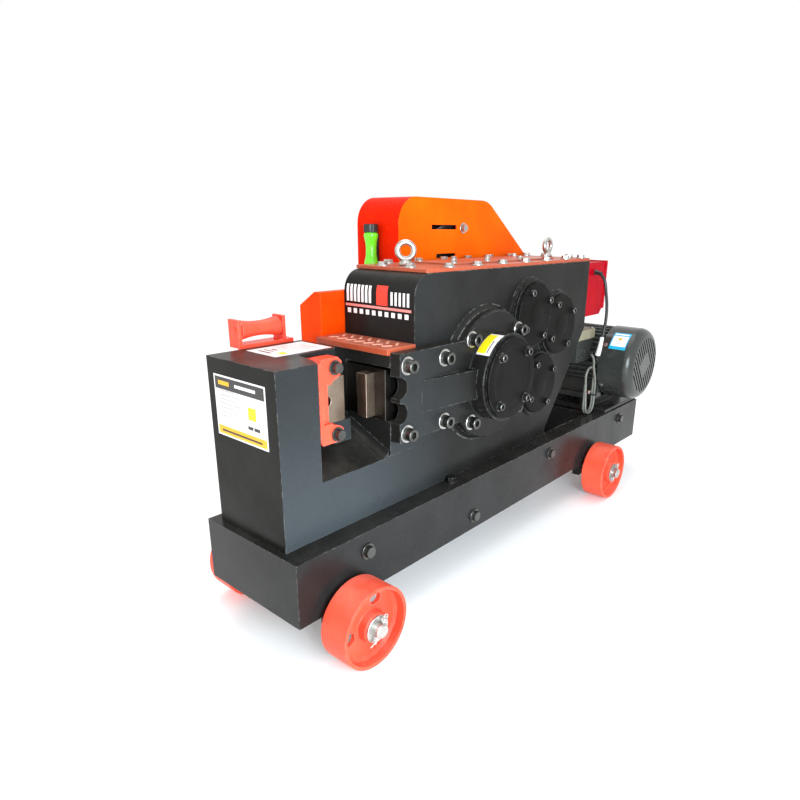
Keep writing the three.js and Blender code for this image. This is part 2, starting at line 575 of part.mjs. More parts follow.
function makeBeltGuard() {
  const { nearY, farY, sheet } = GUARD;
  let guard = across(guardShape(0), nearY, farY, 6);
  guard = guard.subtract(across(guardShape(sheet), nearY + sheet, farY - sheet, 6));
  guard = guard.subtract(roundY(40, INPUT.x, INPUT.z, nearY - 1, nearY + sheet + 1));
  guard = guard.subtract(roundY(34, MOTOR.x, MOTOR.z, nearY - 1, nearY + sheet + 1));
  guard = guard.subtract(box(600, 690, nearY - 1, nearY + sheet + 1, 603, 613));
  guard = guard.subtract(box(618, 688, nearY - 1, nearY + sheet + 1, 541, 550));
  addPiece('belt_guard', guard, orangePaint);
}

// A narrow sheet-metal hood on the rear of the ram housing.
function makeRearHood() {
  const y0 = CAST.farY + 2;
  const profile = [[y0, 300], [y0 + 62, 300], [y0 + 62, 462], [y0 + 18, 490], [y0, 490]];
  const inner = [[y0 + 3, 299], [y0 + 59, 299], [y0 + 59, 460], [y0 + 17, 487], [y0 + 3, 487]];
  const hood = lengthwise(profile, 258, 464).subtract(lengthwise(inner, 261, 461));
  addPiece('rear_hood', hood, orangePaint);
}

// ---------- motor ----------
function makeMotorHousing() {
  const { x, z, endY } = MOTOR;
  const fins = 18;
  const points = [];
  for (let fin = 0; fin < fins; fin += 1) {
    for (const [radius, offset] of [[86, 0], [86, 0.5], [97, 0.58], [97, 0.92]]) {
      const turn = (fin + offset) * 2 * Math.PI / fins;
      points.push([x + radius * Math.cos(turn), z + radius * Math.sin(turn)]);
    }
  }
  let housing = across(polygonShape(points), 44, 200);
  housing = housing.add(turned([[0, 2], [80, 2], [94, 10], [94, 44.5], [0, 44.5]], x, z));
  housing = housing.add(turned([[0, 199], [96, 199], [96, 214], [60, 224], [48, endY], [0, endY]], x, z));
  for (const side of [-1, 1]) {
    const foot = x + side * 74;
    housing = housing.add(box(foot - 24, foot + 24, 46, 196, z - 100, z - 84));
    const post = x + side * 68;
    housing = housing.add(box(post - 9, post + 9, 46, 196, z - 90, z - 50));
  }
  housing = housing.subtract(roundY(62, x, z, 12, 216, 20));
  housing = housing.subtract(roundY(boreFor(MOTOR.shaft), x, z, 0, endY + 1));
  housing = housing.add(roundX(8, CABLE_END.y, CABLE_END.z, CABLE_END.x + 2 * SEAT, x - 80, 12));
  addPiece('motor_housing', housing, motorPaint);
}

function makeCowl() {
  const { x, z, cowlY, cowlRadius: radius } = MOTOR;
  let cowl = turned([[0, cowlY], [radius - 18, cowlY], [radius - 5, cowlY + 5], [radius, cowlY + 18],
    [radius, 42], [radius - 2.5, 42], [radius - 2.5, cowlY + 18], [radius - 8, cowlY + 8],
    [radius - 19, cowlY + 2.5], [0, cowlY + 2.5]], x, z, 28);
  const slots = 7;
  for (let slot = 0; slot < slots; slot += 1) {
    const offset = (slot - (slots - 1) / 2) * 20;
    const half = Math.sqrt(76 * 76 - offset * offset);
    const cutter = new THREE.BoxGeometry(2 * half, 12, 7).translate(0, cowlY + 2, offset);
    cowl = cowl.subtract(solid(cutter.rotateY(50 * DEG).translate(x, 0, z)));
  }
  addPiece('fan_cowl', cowl, motorPaint);
}

function makeRotor() {
  const { x, z, shaft, shaftY, cowlY } = MOTOR;
  const rotor = turned([[0, cowlY + 14], [12, cowlY + 14], [12, -4], [shaft, -4], [shaft, 24],
    [56, 24], [56, 190], [shaft, 190], [shaft, shaftY], [0, shaftY]], x, z);
  addPiece('motor_rotor', rotor, steel);
  const bore = boreFor(12, 20);
  let fan = turned([[bore, cowlY + 16], [24, cowlY + 16], [24, -12], [86, -12], [86, -8], [bore, -8],
    [bore, cowlY + 16]], x, z, 20);
  for (let blade = 0; blade < 7; blade += 1) {
    const vane = new THREE.BoxGeometry(62, 24, 4).translate(54, -23, 0);
    fan = fan.add(solid(vane.rotateY(blade * 2 * Math.PI / 7).translate(x, 0, z)));
  }
  addPiece('motor_fan', fan, blackRubber);
}

function makeMotorFittings() {
  const { x, z } = MOTOR;
  const footZ = z - 100 - GAP;
  const low = BASE.height + GAP;
  let slideBase = box(x - 104, x + 108, 4, 238, low, low + 10);
  for (const y of [50, 160]) {
    slideBase = slideBase.add(box(x - 104, x + 108, y, y + 34, low + 9, footZ));
  }
  slideBase = slideBase.subtract(box(x - 45, x + 45, 90, 154, low - 1, low + 11));
  addPiece('motor_slide_base', slideBase, blackPaint);
  const { left, right, nearY, farY, lowZ, lidZ, highZ } = TERMINAL;
  let terminal = box(left, right, nearY, farY, lowZ, lidZ + 1);
  terminal = terminal.add(box(left - 4, right, nearY - 4, farY + 4, lidZ, highZ));
  terminal = terminal.subtract(roundY(boreFor(97, 24), x, z, 40, 210, 24));
  terminal = terminal.add(roundY(8, LEAD_EXIT.x, LEAD_EXIT.z, LEAD_EXIT.y + SEAT, nearY + 1, 12));
  addPiece('terminal_box', terminal, beigePlastic);
}

// ---------- controls ----------
function makeControlBox() {
  const { left, right, nearY, farY, lowZ, highZ } = CONTROL;
  const sheet = 2.5;
  const corner = 14;
  const outline = polygonShape([[left, lowZ], [right - corner, lowZ], [right, lowZ + corner],
    [right, highZ], [left, highZ]]);
  let shell = across(outline, nearY, farY);
  const [insideLow, insideHigh] = [lowZ + corner, highZ - sheet];
  shell = shell.subtract(box(left + sheet, right + 1, nearY + sheet, farY - sheet, insideLow, insideHigh));
  shell = shell.add(roundY(8, CABLE_EXIT.x, CABLE_EXIT.z, CABLE_EXIT.y + SEAT, nearY + 1, 12));
  addPiece('control_box', shell, boxPaint);
  const skin = right + GAP;
  let door = box(skin, skin + 10, nearY - 2, farY + 2, lowZ + corner, highZ + 3);
  door = door.subtract(box(skin - 1, skin + 7, nearY + 3, farY - 3, lowZ + corner + 3, highZ - 3));
  for (const z of BUTTON_Z) {
    door = door.subtract(roundX(11 + GAP, BUTTON_Y, z, skin - 1, skin + 11, 16));
  }
  addPiece('control_box_door', door, boxPaint);
  const face = skin + 10;
  [['start_button', greenPlastic], ['stop_button', redPlastic]].forEach(([name, material], index) => {
    const z = BUTTON_Z[index];
    const cap = roundX(11, BUTTON_Y, z, face - 6, face + 7, 16);
    addPiece(name, cap.add(roundX(14, BUTTON_Y, z, face - 9, face - 5, 16)), material);
  });
}

// ---------- bar guide roller and oiler ----------
function makeBarGuide() {
  const near = CAST.farY + GAP;
  const shelfZ = COLUMN.topZ + GAP;
  const [left, right] = [77, 190];
  let bracket = box(left, right, near, near + 6, 366, shelfZ + 6);
  bracket = bracket.add(box(left, right, near, near + 30, shelfZ, shelfZ + 6));
  const axisY = near + 15;
  const axisZ = 438;
  for (const x of [left, 168]) {
    bracket = bracket.add(box(x, x + 6, near, near + 30, shelfZ + 5, 457));
    bracket = bracket.subtract(roundX(boreFor(6), axisY, axisZ, x - 1, x + 7));
  }
  addPiece('roller_bracket', bracket, redPaint);
  const profile = [[0, 75], [6, 75], [6, 84.5], [17, 84.5], [17, 89], [14.5, 101], [13, 125.5], [14.5, 150],
    [17, 162], [17, 166.5], [6, 166.5], [6, 176], [0, 176]];
  const points = profile.map(([radius, along]) => new THREE.Vector2(radius, along));
  const roller = new THREE.LatheGeometry(points, 16).rotateZ(-Math.PI / 2).translate(0, axisY, axisZ);
  addPiece('guide_roller', solid(roller), redPaint);
}

// A gravity oiler that stands against the end of the belt guard.
function makeOiler() {
  const x = 491 - GAP;
  const y = 305;
  let oiler = box(x - 20, x, y - 19, y + 19, 510, 596);
  oiler = oiler.add(box(x - 24, x, y - 21, y + 21, 596, 614));
  addPiece('oil_bottle', oiler, greenPlastic);
}

// ---------- cables ----------
function cord(points, diameter, steps, sides) {
  const path = new THREE.CatmullRomCurve3(points.map(([x, y, z]) => new THREE.Vector3(x, y, z)));
  const section = new THREE.Shape();
  for (let i = 0; i < sides; i += 1) {
    const turn = 2 * Math.PI * i / sides;
    const corner = [diameter / 2 * Math.cos(turn), diameter / 2 * Math.sin(turn)];
    if (i === 0) section.moveTo(...corner);
    else section.lineTo(...corner);
  }
  return solid(new THREE.ExtrudeGeometry(section, { steps, bevelEnabled: false, extrudePath: path }));
}

// The supply from the control box hangs in one bow to a boss on the motor's side.
function makeMotorCable() {
  const { x, y, z } = CABLE_EXIT;
  const route = [[x, y, z], [x, 44, 498], [x - 0.5, 36, 494], [x - 0.5, 29, 487], [x, 24, 478],
    [x + 1, 21, 467], [1048, 19.3, 452], [1053, 18, 434], [1057, 17, 414], [1060, 17, 392],
    [1061, 18, 370], [1061, 20, 350], [1060, 22.5, 331], [1059.5, 25, 312], [1060.5, 28, 295],
    [1063, 32, 281], [1067.5, 37, 270.5], [1074, 43, 263.5], [1081.5, 48.5, 260],
    [CABLE_END.x, CABLE_END.y, CABLE_END.z]];
  addPiece('motor_cable', cord(route, CABLE_DIAMETER, 24, 8), blackRubber);
}

// A spare lead leaves the terminal box and is put up in a hank that stands on the base flange.
function makeSpareLead() {
  const { x, y, z } = LEAD_EXIT;
  const route = [[x, y, z], [x, y - 7.8, z - 1.2], [x + 0.3, y - 15, z - 5], [x + 1, y - 21, z - 11.5],
    [x + 3, y - 24.2, z - 19.5], [x + 6, y - 25, z - 28], [x + 7.5, y - 25, HANK.highZ - 0.8]];
  addPiece('spare_lead', cord(route, LEAD_DIAMETER, 8, 8), greyRubber);
  const radius = HANK.width / 2;
  const outline = new THREE.Shape();
  outline.moveTo(HANK.x + radius, HANK.lowZ + radius);
  outline.lineTo(HANK.x + radius, HANK.highZ - radius);
  outline.absarc(HANK.x, HANK.highZ - radius, radius, 0, Math.PI, false);
  outline.lineTo(HANK.x - radius, HANK.lowZ + radius);
  outline.absarc(HANK.x, HANK.lowZ + radius, radius, Math.PI, 2 * Math.PI, false);
  addPiece('spare_lead_hank', across(outline, HANK.nearY, HANK.farY, 8), greyRubber);
}

makeBase();
makeWheelSet('front', WHEEL_X[0]);
makeWheelSet('rear', WHEEL_X[1]);
makeCasting();
makeSidePlate();
makeBearingCovers();
makeTopCovers();
makeEyeBolts();
makeBlades();
makeBladeClamp();
makeRam();
makeConnectingRod();
makeCrankshaft();
makeGearTrain();
makeBearings();
makePulleys();
makeBelts();
makeBeltGuard();
makeRearHood();
makeMotorHousing();
makeCowl();
makeRotor();
makeMotorFittings();
makeControlBox();
makeBarGuide();
makeOiler();
makeMotorCable();
makeSpareLead();

// The footprint centre, on the ground.
assembly.position.set(-BASE.length / 2, -(AXLE.endY + GUARD.farY) / 2, WHEEL.radius - WHEEL.centreZ);

export default assembly;
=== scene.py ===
"""A steel bar cutter: a cast frame with a crank-driven blade, a belt drive and an electric motor,
on a sheet-steel base with four wheels.

Lengths here are millimetres in the machine's own frame: X runs from the blade end to the motor
end, Y from the operator's side to the belt side, and Z up from the underside of the base tray.
"""
import math

import bmesh
import bpy
from mathutils import Matrix, Vector


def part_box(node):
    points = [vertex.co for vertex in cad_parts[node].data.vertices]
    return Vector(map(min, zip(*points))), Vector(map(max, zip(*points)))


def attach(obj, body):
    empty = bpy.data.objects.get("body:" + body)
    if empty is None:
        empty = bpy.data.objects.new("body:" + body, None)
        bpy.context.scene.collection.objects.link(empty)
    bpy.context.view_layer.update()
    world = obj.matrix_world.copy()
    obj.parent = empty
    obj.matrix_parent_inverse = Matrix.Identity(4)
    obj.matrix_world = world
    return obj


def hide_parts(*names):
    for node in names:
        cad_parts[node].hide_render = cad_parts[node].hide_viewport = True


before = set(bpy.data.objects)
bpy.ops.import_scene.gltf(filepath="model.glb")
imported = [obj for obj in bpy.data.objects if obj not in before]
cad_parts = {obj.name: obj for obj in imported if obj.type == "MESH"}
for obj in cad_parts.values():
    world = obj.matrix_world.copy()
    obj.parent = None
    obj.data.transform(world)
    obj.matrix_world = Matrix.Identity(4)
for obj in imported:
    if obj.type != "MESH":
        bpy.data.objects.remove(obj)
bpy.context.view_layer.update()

MM = 0.001
TRAY_HEIGHT = 114
tray_low, tray_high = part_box("base_tray")
ZERO = Vector((tray_low.x, tray_low.y, tray_high.z - TRAY_HEIGHT * MM))
TO_FRAME = Matrix.Translation(ZERO) @ Matrix.Scale(MM, 4)


def at(x, y, z):
    """A machine point in the row frame, in metres."""
    return TO_FRAME @ Vector((x, y, z))


def extent(node):
    """The lowest and highest corners of a CAD node, in machine millimetres."""
    low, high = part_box(node)
    return (low - ZERO) / MM, (high - ZERO) / MM


def centre(node):
    low, high = extent(node)
    return (low + high) / 2


CRANK = centre("crank_cover")
SECOND = centre("second_shaft")
THIRD = centre("third_shaft")
INPUT = centre("input_shaft")
MOTOR = centre("fan_cowl")
CASTING_LOW, CASTING_HIGH = extent("main_casting")
GEARBOX_TOP = CASTING_HIGH.z
GEARBOX_FRONT = 317
COLUMN_FACE = CASTING_LOW.x
COLUMN_TOP = 408.5
NOSE_RADIUS = 40
AXLE_LINES = [centre("front_axle"), centre("rear_axle")]


# ---------- mesh helpers ----------
def turn_about(bm, matrix):
    bmesh.ops.transform(bm, matrix=matrix, verts=bm.verts)
    return bm


def spun(profile, steps=64):
    """A body turned about local Z, from (radius, height) pairs. A third number makes that ring a
    polygon with so many sides."""
    bm = bmesh.new()
    rings = []
    for radius, height, *sides in profile:
        if radius == 0:
            rings.append([bm.verts.new((0, 0, height))])
            continue
        ring = []
        for step in range(steps):
            turn = 2 * math.pi * step / steps
            reach = radius
            if sides:
                wedge = math.pi / sides[0]
                reach = radius * math.cos(wedge) / math.cos(turn % (2 * wedge) - wedge)
            ring.append(bm.verts.new((reach * math.cos(turn), reach * math.sin(turn), height)))
        rings.append(ring)
    if tuple(profile[0]) == tuple(profile[-1]) and profile[0][0] > 0:
        bmesh.ops.delete(bm, geom=rings[-1], context="VERTS")
        rings[-1] = rings[0]
    for lower, upper in zip(rings, rings[1:]):
        for step in range(steps):
            after = (step + 1) % steps
            quad = [lower[step % len(lower)], lower[after % len(lower)]]
            quad += [upper[after % len(upper)], upper[step % len(upper)]]
            corners = list(dict.fromkeys(quad))
            if len(corners) > 2:
                bm.faces.new(corners)
    bmesh.ops.recalc_face_normals(bm, faces=bm.faces)
    return bm


def facing(bm, direction, spot):
    """Turns local Z to a direction and moves the local origin to a spot."""
    turn = Vector((0, 0, 1)).rotation_difference(Vector(direction)).to_matrix().to_4x4()
    return turn_about(bm, Matrix.Translation(Vector(spot)) @ turn)


def spun_across(profile, line, steps=64):
    """A body turned about a line across the machine, from (radius, y) pairs."""
    return facing(spun(profile, steps), (0, 1, 0), (line.x, 0, line.z))


def rod(radius, start, end, steps=32, chamfer=1.0):
    """A round bar with chamfered ends between two points."""
    start, end = Vector(start), Vector(end)
    length = (end - start).length
    edge = min(chamfer, radius * 0.5)
    profile = [(0, 0), (radius - edge, 0), (radius, edge), (radius, length - edge)]
    profile += [(radius - edge, length), (0, length)]
    return facing(spun(profile, steps), end - start, start)


PLANES = {
    "XZ": lambda a, b, depth: (a, depth, b),
    "XY": lambda a, b, depth: (a, b, depth),
    "YZ": lambda a, b, depth: (depth, a, b),
}


def prism(points, low, high, plane="XZ"):
    """An outline drawn in one plane, given depth along the third axis."""
    bm = bmesh.new()
    place = PLANES[plane]
    ends = [[bm.verts.new(place(a, b, depth)) for a, b in points] for depth in (low, high)]
    for end in ends:
        bm.faces.new(end)
    for index in range(len(points)):
        after = (index + 1) % len(points)
        bm.faces.new((ends[0][index], ends[0][after], ends[1][after], ends[1][index]))
    bmesh.ops.recalc_face_normals(bm, faces=bm.faces)
    return bm


def block(x0, x1, y0, y1, z0, z1):
    return prism([(x0, z0), (x1, z0), (x1, z1), (x0, z1)], y0, y1)


def arc(a, b, radius, start, end, steps=16):
    """Points on an arc, from one angle to another, in degrees."""
    points = []
    for step in range(steps + 1):
        turn = math.radians(start + (end - start) * step / steps)
        points.append((a + radius * math.cos(turn), b + radius * math.sin(turn)))
    return points


def merged(*parts):
    """Several bodies in one mesh."""
    whole = bmesh.new()
    for part in parts:
        copy = bpy.data.meshes.new("part")
        part.to_mesh(copy)
        part.free()
        whole.from_mesh(copy)
        bpy.data.meshes.remove(copy)
    return whole


def carve(body, tool, operation="DIFFERENCE"):
    """Cuts a tool out of a body, or joins it on with UNION."""
    holders = []
    for bm in (body, tool):
        mesh = bpy.data.meshes.new("carving")
        bm.to_mesh(mesh)
        bm.free()
        holder = bpy.data.objects.new("carving", mesh)
        bpy.context.scene.collection.objects.link(holder)
        holders.append(holder)
    modifier = holders[0].modifiers.new("carve", "BOOLEAN")
    modifier.operation = operation
    modifier.solver = "EXACT"
    modifier.object = holders[1]
    result = bmesh.new()
    result.from_object(holders[0], bpy.context.evaluated_depsgraph_get())
    for holder in holders:
        mesh = holder.data
        bpy.data.objects.remove(holder)
        bpy.data.meshes.remove(mesh)
    return result


def soften(obj, width, steps=3):
    """Rounds the sharp edges, and keeps the flats flat in the shading."""
    if width:
        bevel = obj.modifiers.new("edges", "BEVEL")
        bevel.width = width * MM
        bevel.segments = steps
        bevel.limit_method = "ANGLE"
        bevel.angle_limit = math.radians(34)
        bevel.use_clamp_overlap = True
    shading = obj.modifiers.new("shading", "WEIGHTED_NORMAL")
    shading.keep_sharp = True


def finish_mesh(name, mesh, look, body, replaces, width, sharp=34):
    obj = bpy.data.objects.new(name, mesh)
    bpy.context.scene.collection.objects.link(obj)
    mesh.materials.clear()
    mesh.materials.append(look)
    mesh.polygons.foreach_set("use_smooth", [True] * len(mesh.polygons))
    mesh.set_sharp_from_angle(angle=math.radians(sharp))
    soften(obj, width)
    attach(obj, body)
    if replaces:
        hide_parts(*replaces)
    return obj


def piece(name, bm, look, body="root", replaces=(), width=0.0):
    """Turns a mesh drawn in machine millimetres into a piece that rides on a body."""
    turn_about(bm, TO_FRAME)
    mesh = bpy.data.meshes.new(name)
    bm.to_mesh(mesh)
    bm.free()
    return finish_mesh(name, mesh, look, body, replaces, width)


def rounded(node, look, width, body="root"):
    """The CAD node's own shape with its edges rounded."""
    bm = bmesh.new()
    bm.from_mesh(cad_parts[node].data)
    bmesh.ops.remove_doubles(bm, verts=bm.verts, dist=2e-6)
    bmesh.ops.dissolve_limit(bm, angle_limit=math.radians(0.6), verts=bm.verts, edges=bm.edges)
    mesh = bpy.data.meshes.new(node + "_skin")
    bm.to_mesh(mesh)
    bm.free()
    return finish_mesh(node + "_skin", mesh, look, body, (node,), width)


def from_node(node):
    """A CAD node's shape, back in machine millimetres."""
    bm = bmesh.new()
    bm.from_mesh(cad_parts[node].data)
    bmesh.ops.remove_doubles(bm, verts=bm.verts, dist=2e-6)
    bmesh.ops.dissolve_limit(bm, angle_limit=math.radians(0.6), verts=bm.verts, edges=bm.edges)
    return turn_about(bm, TO_FRAME.inverted())


def dress(node, look):
    """Gives a CAD node that stays its procedural material."""
    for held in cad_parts[node].material_slots:
        held.material = look


# ---------- materials ----------
class Look:
    """One procedural material, built up on its Principled shader."""

    def __init__(self, name, roughness=0.5, metallic=0.0, **sockets):
        self.material = bpy.data.materials.new(name)
        self.material.use_nodes = True
        self.tree = self.material.node_tree
        self.shader = self.tree.nodes["Principled BSDF"]
        self.shader.inputs["Roughness"].default_value = roughness
        self.shader.inputs["Metallic"].default_value = metallic
        for socket, value in sockets.items():
            self.shader.inputs[socket.replace("_", " ")].default_value = value
        self.place = self.tree.nodes.new("ShaderNodeTexCoord").outputs["Object"]

    def node(self, kind, **values):
        made = self.tree.nodes.new(kind)
        for socket, value in values.items():
            made.inputs[socket.replace("_", " ")].default_value = value
        return made

    def join(self, source, target):
        self.tree.links.new(source, target)

    def stretched(self, scale):
        mapping = self.node("ShaderNodeMapping", Scale=scale)
        self.join(self.place, mapping.inputs["Vector"])
        return mapping.outputs["Vector"]

    def noise(self, scale, detail=3.0, roughness=0.55, distortion=0.0, stretch=None):
        texture = self.node("ShaderNodeTexNoise", Scale=scale, Detail=detail,
                            Roughness=roughness, Distortion=distortion)
        self.join(self.stretched(stretch) if stretch else self.place, texture.inputs["Vector"])
        return texture.outputs["Fac"]

    def ramp(self, value, *stops):
        """Stops are (position, colour) pairs, a colour being one grey or three numbers."""
        node = self.node("ShaderNodeValToRGB")
        points = node.color_ramp.elements
        while len(points) < len(stops):
            points.new(0.5)
        for point, (position, colour) in zip(points, stops):
            point.position = position
            shade = colour if isinstance(colour, tuple) else (colour, colour, colour)
            point.color = (*shade, 1)
        self.join(value, node.inputs["Fac"])
        return node.outputs["Color"]

    def blend(self, amount, first, second):
        """Goes from first to second; each is a colour or a socket."""
        node = self.tree.nodes.new("ShaderNodeMix")
        node.data_type = "RGBA"
        self.join(amount, node.inputs["Factor"])
        for socket, value in ((node.inputs[6], first), (node.inputs[7], second)):
            if isinstance(value, tuple):
                socket.default_value = (*value, 1)
            else:
                self.join(value, socket)
        return node.outputs[2]

    def times(self, first, second, operation="MULTIPLY"):
        node = self.tree.nodes.new("ShaderNodeMath")
        node.operation = operation
        node.use_clamp = True
        for socket, value in zip(node.inputs, (first, second)):
            if isinstance(value, (int, float)):
                socket.default_value = value
            else:
                self.join(value, socket)
        return node.outputs[0]

    def edges(self, radius):
        """Near 1 along convex and concave edges, 0 on the flats."""
        bevel = self.tree.nodes.new("ShaderNodeBevel")
        bevel.samples = 4
        bevel.inputs["Radius"].default_value = radius * MM
        facing_node = self.tree.nodes.new("ShaderNodeNewGeometry")
        dot = self.tree.nodes.new("ShaderNodeVectorMath")
        dot.operation = "DOT_PRODUCT"
        self.join(bevel.outputs["Normal"], dot.inputs[0])
        self.join(facing_node.outputs["Normal"], dot.inputs[1])
        return self.ramp(dot.outputs["Value"], (0.80, 1.0), (0.985, 0.0))

    def upward(self):
        """1 on faces that look up, 0 on walls."""
        geometry = self.tree.nodes.new("ShaderNodeNewGeometry")
        split = self.tree.nodes.new("ShaderNodeSeparateXYZ")
        self.join(geometry.outputs["Normal"], split.inputs[0])
        return self.ramp(split.outputs["Z"], (0.55, 0.0), (0.95, 1.0))

    def broadside(self):
        """1 on sheets that face across the machine, 0 on the folded rims round them."""
        geometry = self.tree.nodes.new("ShaderNodeNewGeometry")
        split = self.tree.nodes.new("ShaderNodeSeparateXYZ")
        self.join(geometry.outputs["Normal"], split.inputs[0])
        square = self.times(split.outputs["Y"], split.outputs["Y"])
        return self.ramp(square, (0.30, 0.0), (0.80, 1.0))

    def painted_reflection_patch(self):
        """1 low on the blade column's two broad sides, fading upwards and towards the gearbox: where the
        painted reflection of the floor goes.
        """
        split = self.tree.nodes.new("ShaderNodeSeparateXYZ")
        self.join(self.place, split.inputs[0])
        leftward = self.ramp(self.times(split.outputs["X"], -1.0), (0.20, 0.0), (0.48, 1.0))
        low_down = self.ramp(split.outputs["Z"], (0.14, 1.0), (0.46, 0.25))
        return self.times(self.times(leftward, low_down), self.broadside())

    def bump(self, height, depth, under=None, strength=1.0):
        node = self.node("ShaderNodeBump", Strength=strength, Distance=depth * MM)
        self.join(height, node.inputs["Height"])
        if under is not None:
            self.join(under, node.inputs["Normal"])
        return node.outputs["Normal"]

    def done(self, colour, roughness=None, normal=None):
        self.join(colour, self.shader.inputs["Base Color"])
        if roughness is not None:
            self.join(roughness, self.shader.inputs["Roughness"])
        if normal is not None:
            self.join(normal, self.shader.inputs["Normal"])
        return self.material


def paint(name, light, dark, rough, wave=0.25, grain=0.05, wear_and_sheen=None, wear_and_sheen_amount=0.5,
          dust=None, dust_amount=0.3, coat=0.0, shine=0.3, rim=None, painted_reflection=None):
    """Brushed or sprayed paint: two close shades, a wavy skin with fine grain, worn edges that also paint
    edge highlights, dust that settles on top, and a pale painted reflection of the floor low on the
    column."""
    look = Look(name, Coat_Weight=coat, Coat_Roughness=0.12, Specular_IOR_Level=shine)
    broad = look.noise(5.5, 4.0, 0.6)
    colour = look.blend(look.ramp(broad, (0.34, 0.0), (0.66, 1.0)), dark, light)
    if rim is not None:
        colour = look.blend(look.broadside(), rim, colour)
    # Painted reflection: a pale patch low on the column, painted where the floor's reflection falls.
    if painted_reflection is not None:
        colour = look.blend(look.painted_reflection_patch(), colour, painted_reflection)
    fleck = look.ramp(look.noise(170.0, 2.0), (0.60, 0.0), (0.74, 1.0))
    colour = look.blend(look.times(fleck, 0.25), colour, dark)
    if dust is not None:
        patches = look.ramp(look.noise(16.0, 6.0, 0.7), (0.35, 0.0), (0.75, 1.0))
        settled = look.times(look.upward(), patches)
        colour = look.blend(look.times(settled, dust_amount), colour, dust)
    # Edge wear: pale chips along the edges, partly real wear and partly painted highlight, since on the
    # black casting they also paint the highlights its rounded edges catch.
    if wear_and_sheen is not None:
        chips = look.ramp(look.noise(85.0, 5.0, 0.7), (0.44, 0.0), (0.60, 1.0))
        worn_and_lit = look.times(look.times(look.edges(2.6), chips), wear_and_sheen_amount)
        colour = look.blend(worn_and_lit, colour, wear_and_sheen)
    low, high = rough
    gloss = look.ramp(look.noise(13.0, 4.0, 0.6), (0.3, low), (0.7, high))
    skin = look.bump(look.noise(9.0, 2.0, 0.5), wave * 20)
    skin = look.bump(look.noise(260.0, 3.0), grain, under=skin)
    return look.done(colour, gloss, skin)


def bare_metal(name, light, dark, rough, brush=(1, 1, 1), grain=0.02):
    """Bare or plated metal with a brushed or ground grain and smears."""
    look = Look(name, metallic=1.0)
    lines = look.noise(90.0, 4.0, 0.6, stretch=brush)
    smear = look.ramp(look.noise(22.0, 5.0, 0.65), (0.35, 0.0), (0.7, 1.0))
    colour = look.blend(smear, light, dark)
    colour = look.blend(look.times(look.ramp(lines, (0.4, 0.0), (0.65, 1.0)), 0.4), colour, dark)
    low, high = rough
    gloss = look.ramp(lines, (0.3, low), (0.7, high))
    return look.done(colour, gloss, look.bump(lines, grain))


def moulded(name, light, dark, rough=(0.35, 0.5), grain=0.03, scale=320.0, **sockets):
    """Moulded plastic or rubber with a faint texture."""
    look = Look(name, **sockets)
    colour = look.blend(look.ramp(look.noise(24.0, 4.0, 0.6), (0.35, 0.0), (0.7, 1.0)), light, dark)
    low, high = rough
    gloss = look.ramp(look.noise(40.0, 3.0), (0.3, low), (0.7, high))
    return look.done(colour, gloss, look.bump(look.noise(scale, 2.0), grain))


def oily(name, light, dark, rough=(0.25, 0.5)):
    """Cast or machined iron inside the gearbox, with an oil film."""
    look = Look(name, metallic=0.85, Coat_Weight=0.35, Coat_Roughness=0.15)
    colour = look.blend(look.ramp(look.noise(14.0, 5.0, 0.65), (0.35, 0.0), (0.7, 1.0)), light, dark)
    low, high = rough
    gloss = look.ramp(look.noise(30.0, 4.0), (0.3, low), (0.7, high))
    return look.done(colour, gloss, look.bump(look.noise(180.0, 3.0), 0.08))


# The casting's last colour is a painted reflection of the floor, low on the column; its edge wear colour
# also paints edge highlights.
CASTING_BLACK = paint("casting_black", (0.017, 0.0165, 0.0155), (0.008, 0.0075, 0.0065), (0.22, 0.40),
                      wave=0.06, grain=0.10, wear_and_sheen=(0.34, 0.34, 0.32), wear_and_sheen_amount=0.45,
                      dust=(0.13, 0.12, 0.10), dust_amount=0.22, shine=0.09,
                      painted_reflection=(0.056, 0.066, 0.073))
COVER_BLACK = paint("cover_black", (0.011, 0.0105, 0.0095), (0.006, 0.0055, 0.005), (0.30, 0.46),
                    wave=0.06, grain=0.08, wear_and_sheen=(0.34, 0.34, 0.32), wear_and_sheen_amount=0.45, shine=0.03)
SHEET_BLACK = paint("sheet_black", (0.020, 0.020, 0.020), (0.010, 0.010, 0.009), (0.20, 0.36),
                    wave=0.05, grain=0.03, wear_and_sheen=(0.36, 0.36, 0.34), wear_and_sheen_amount=0.40,
                    dust=(0.13, 0.12, 0.10), dust_amount=0.18, shine=0.18)
GUARD_ORANGE = paint("guard_orange", (0.98, 0.150, 0.001), (0.94, 0.100, 0.001), (0.34, 0.46),
                     wave=0.03, grain=0.02, wear_and_sheen=(0.90, 0.40, 0.14), wear_and_sheen_amount=0.3, shine=0.03,
                     rim=(0.72, 0.014, 0.001))
HOOD_ORANGE = paint("hood_orange", (0.84, 0.075, 0.002), (0.76, 0.045, 0.001), (0.34, 0.46),
                    wave=0.03, grain=0.02, wear_and_sheen=(0.90, 0.40, 0.14), wear_and_sheen_amount=0.3, shine=0.05)
COVER_ORANGE = paint("cover_orange", (0.42, 0.080, 0.034), (0.33, 0.050, 0.019), (0.28, 0.45),
                     wave=0.04, grain=0.04, wear_and_sheen=(0.80, 0.52, 0.42), wear_and_sheen_amount=0.6,
                     dust=(0.62, 0.36, 0.28), dust_amount=0.40, shine=0.22)
WHEEL_RED = paint("wheel_red", (0.84, 0.105, 0.052), (0.74, 0.050, 0.022), (0.34, 0.50),
                  wave=0.05, grain=0.09, wear_and_sheen=(0.82, 0.42, 0.32), wear_and_sheen_amount=0.6,
                  dust=(0.84, 0.44, 0.34), dust_amount=0.30, shine=0.25)
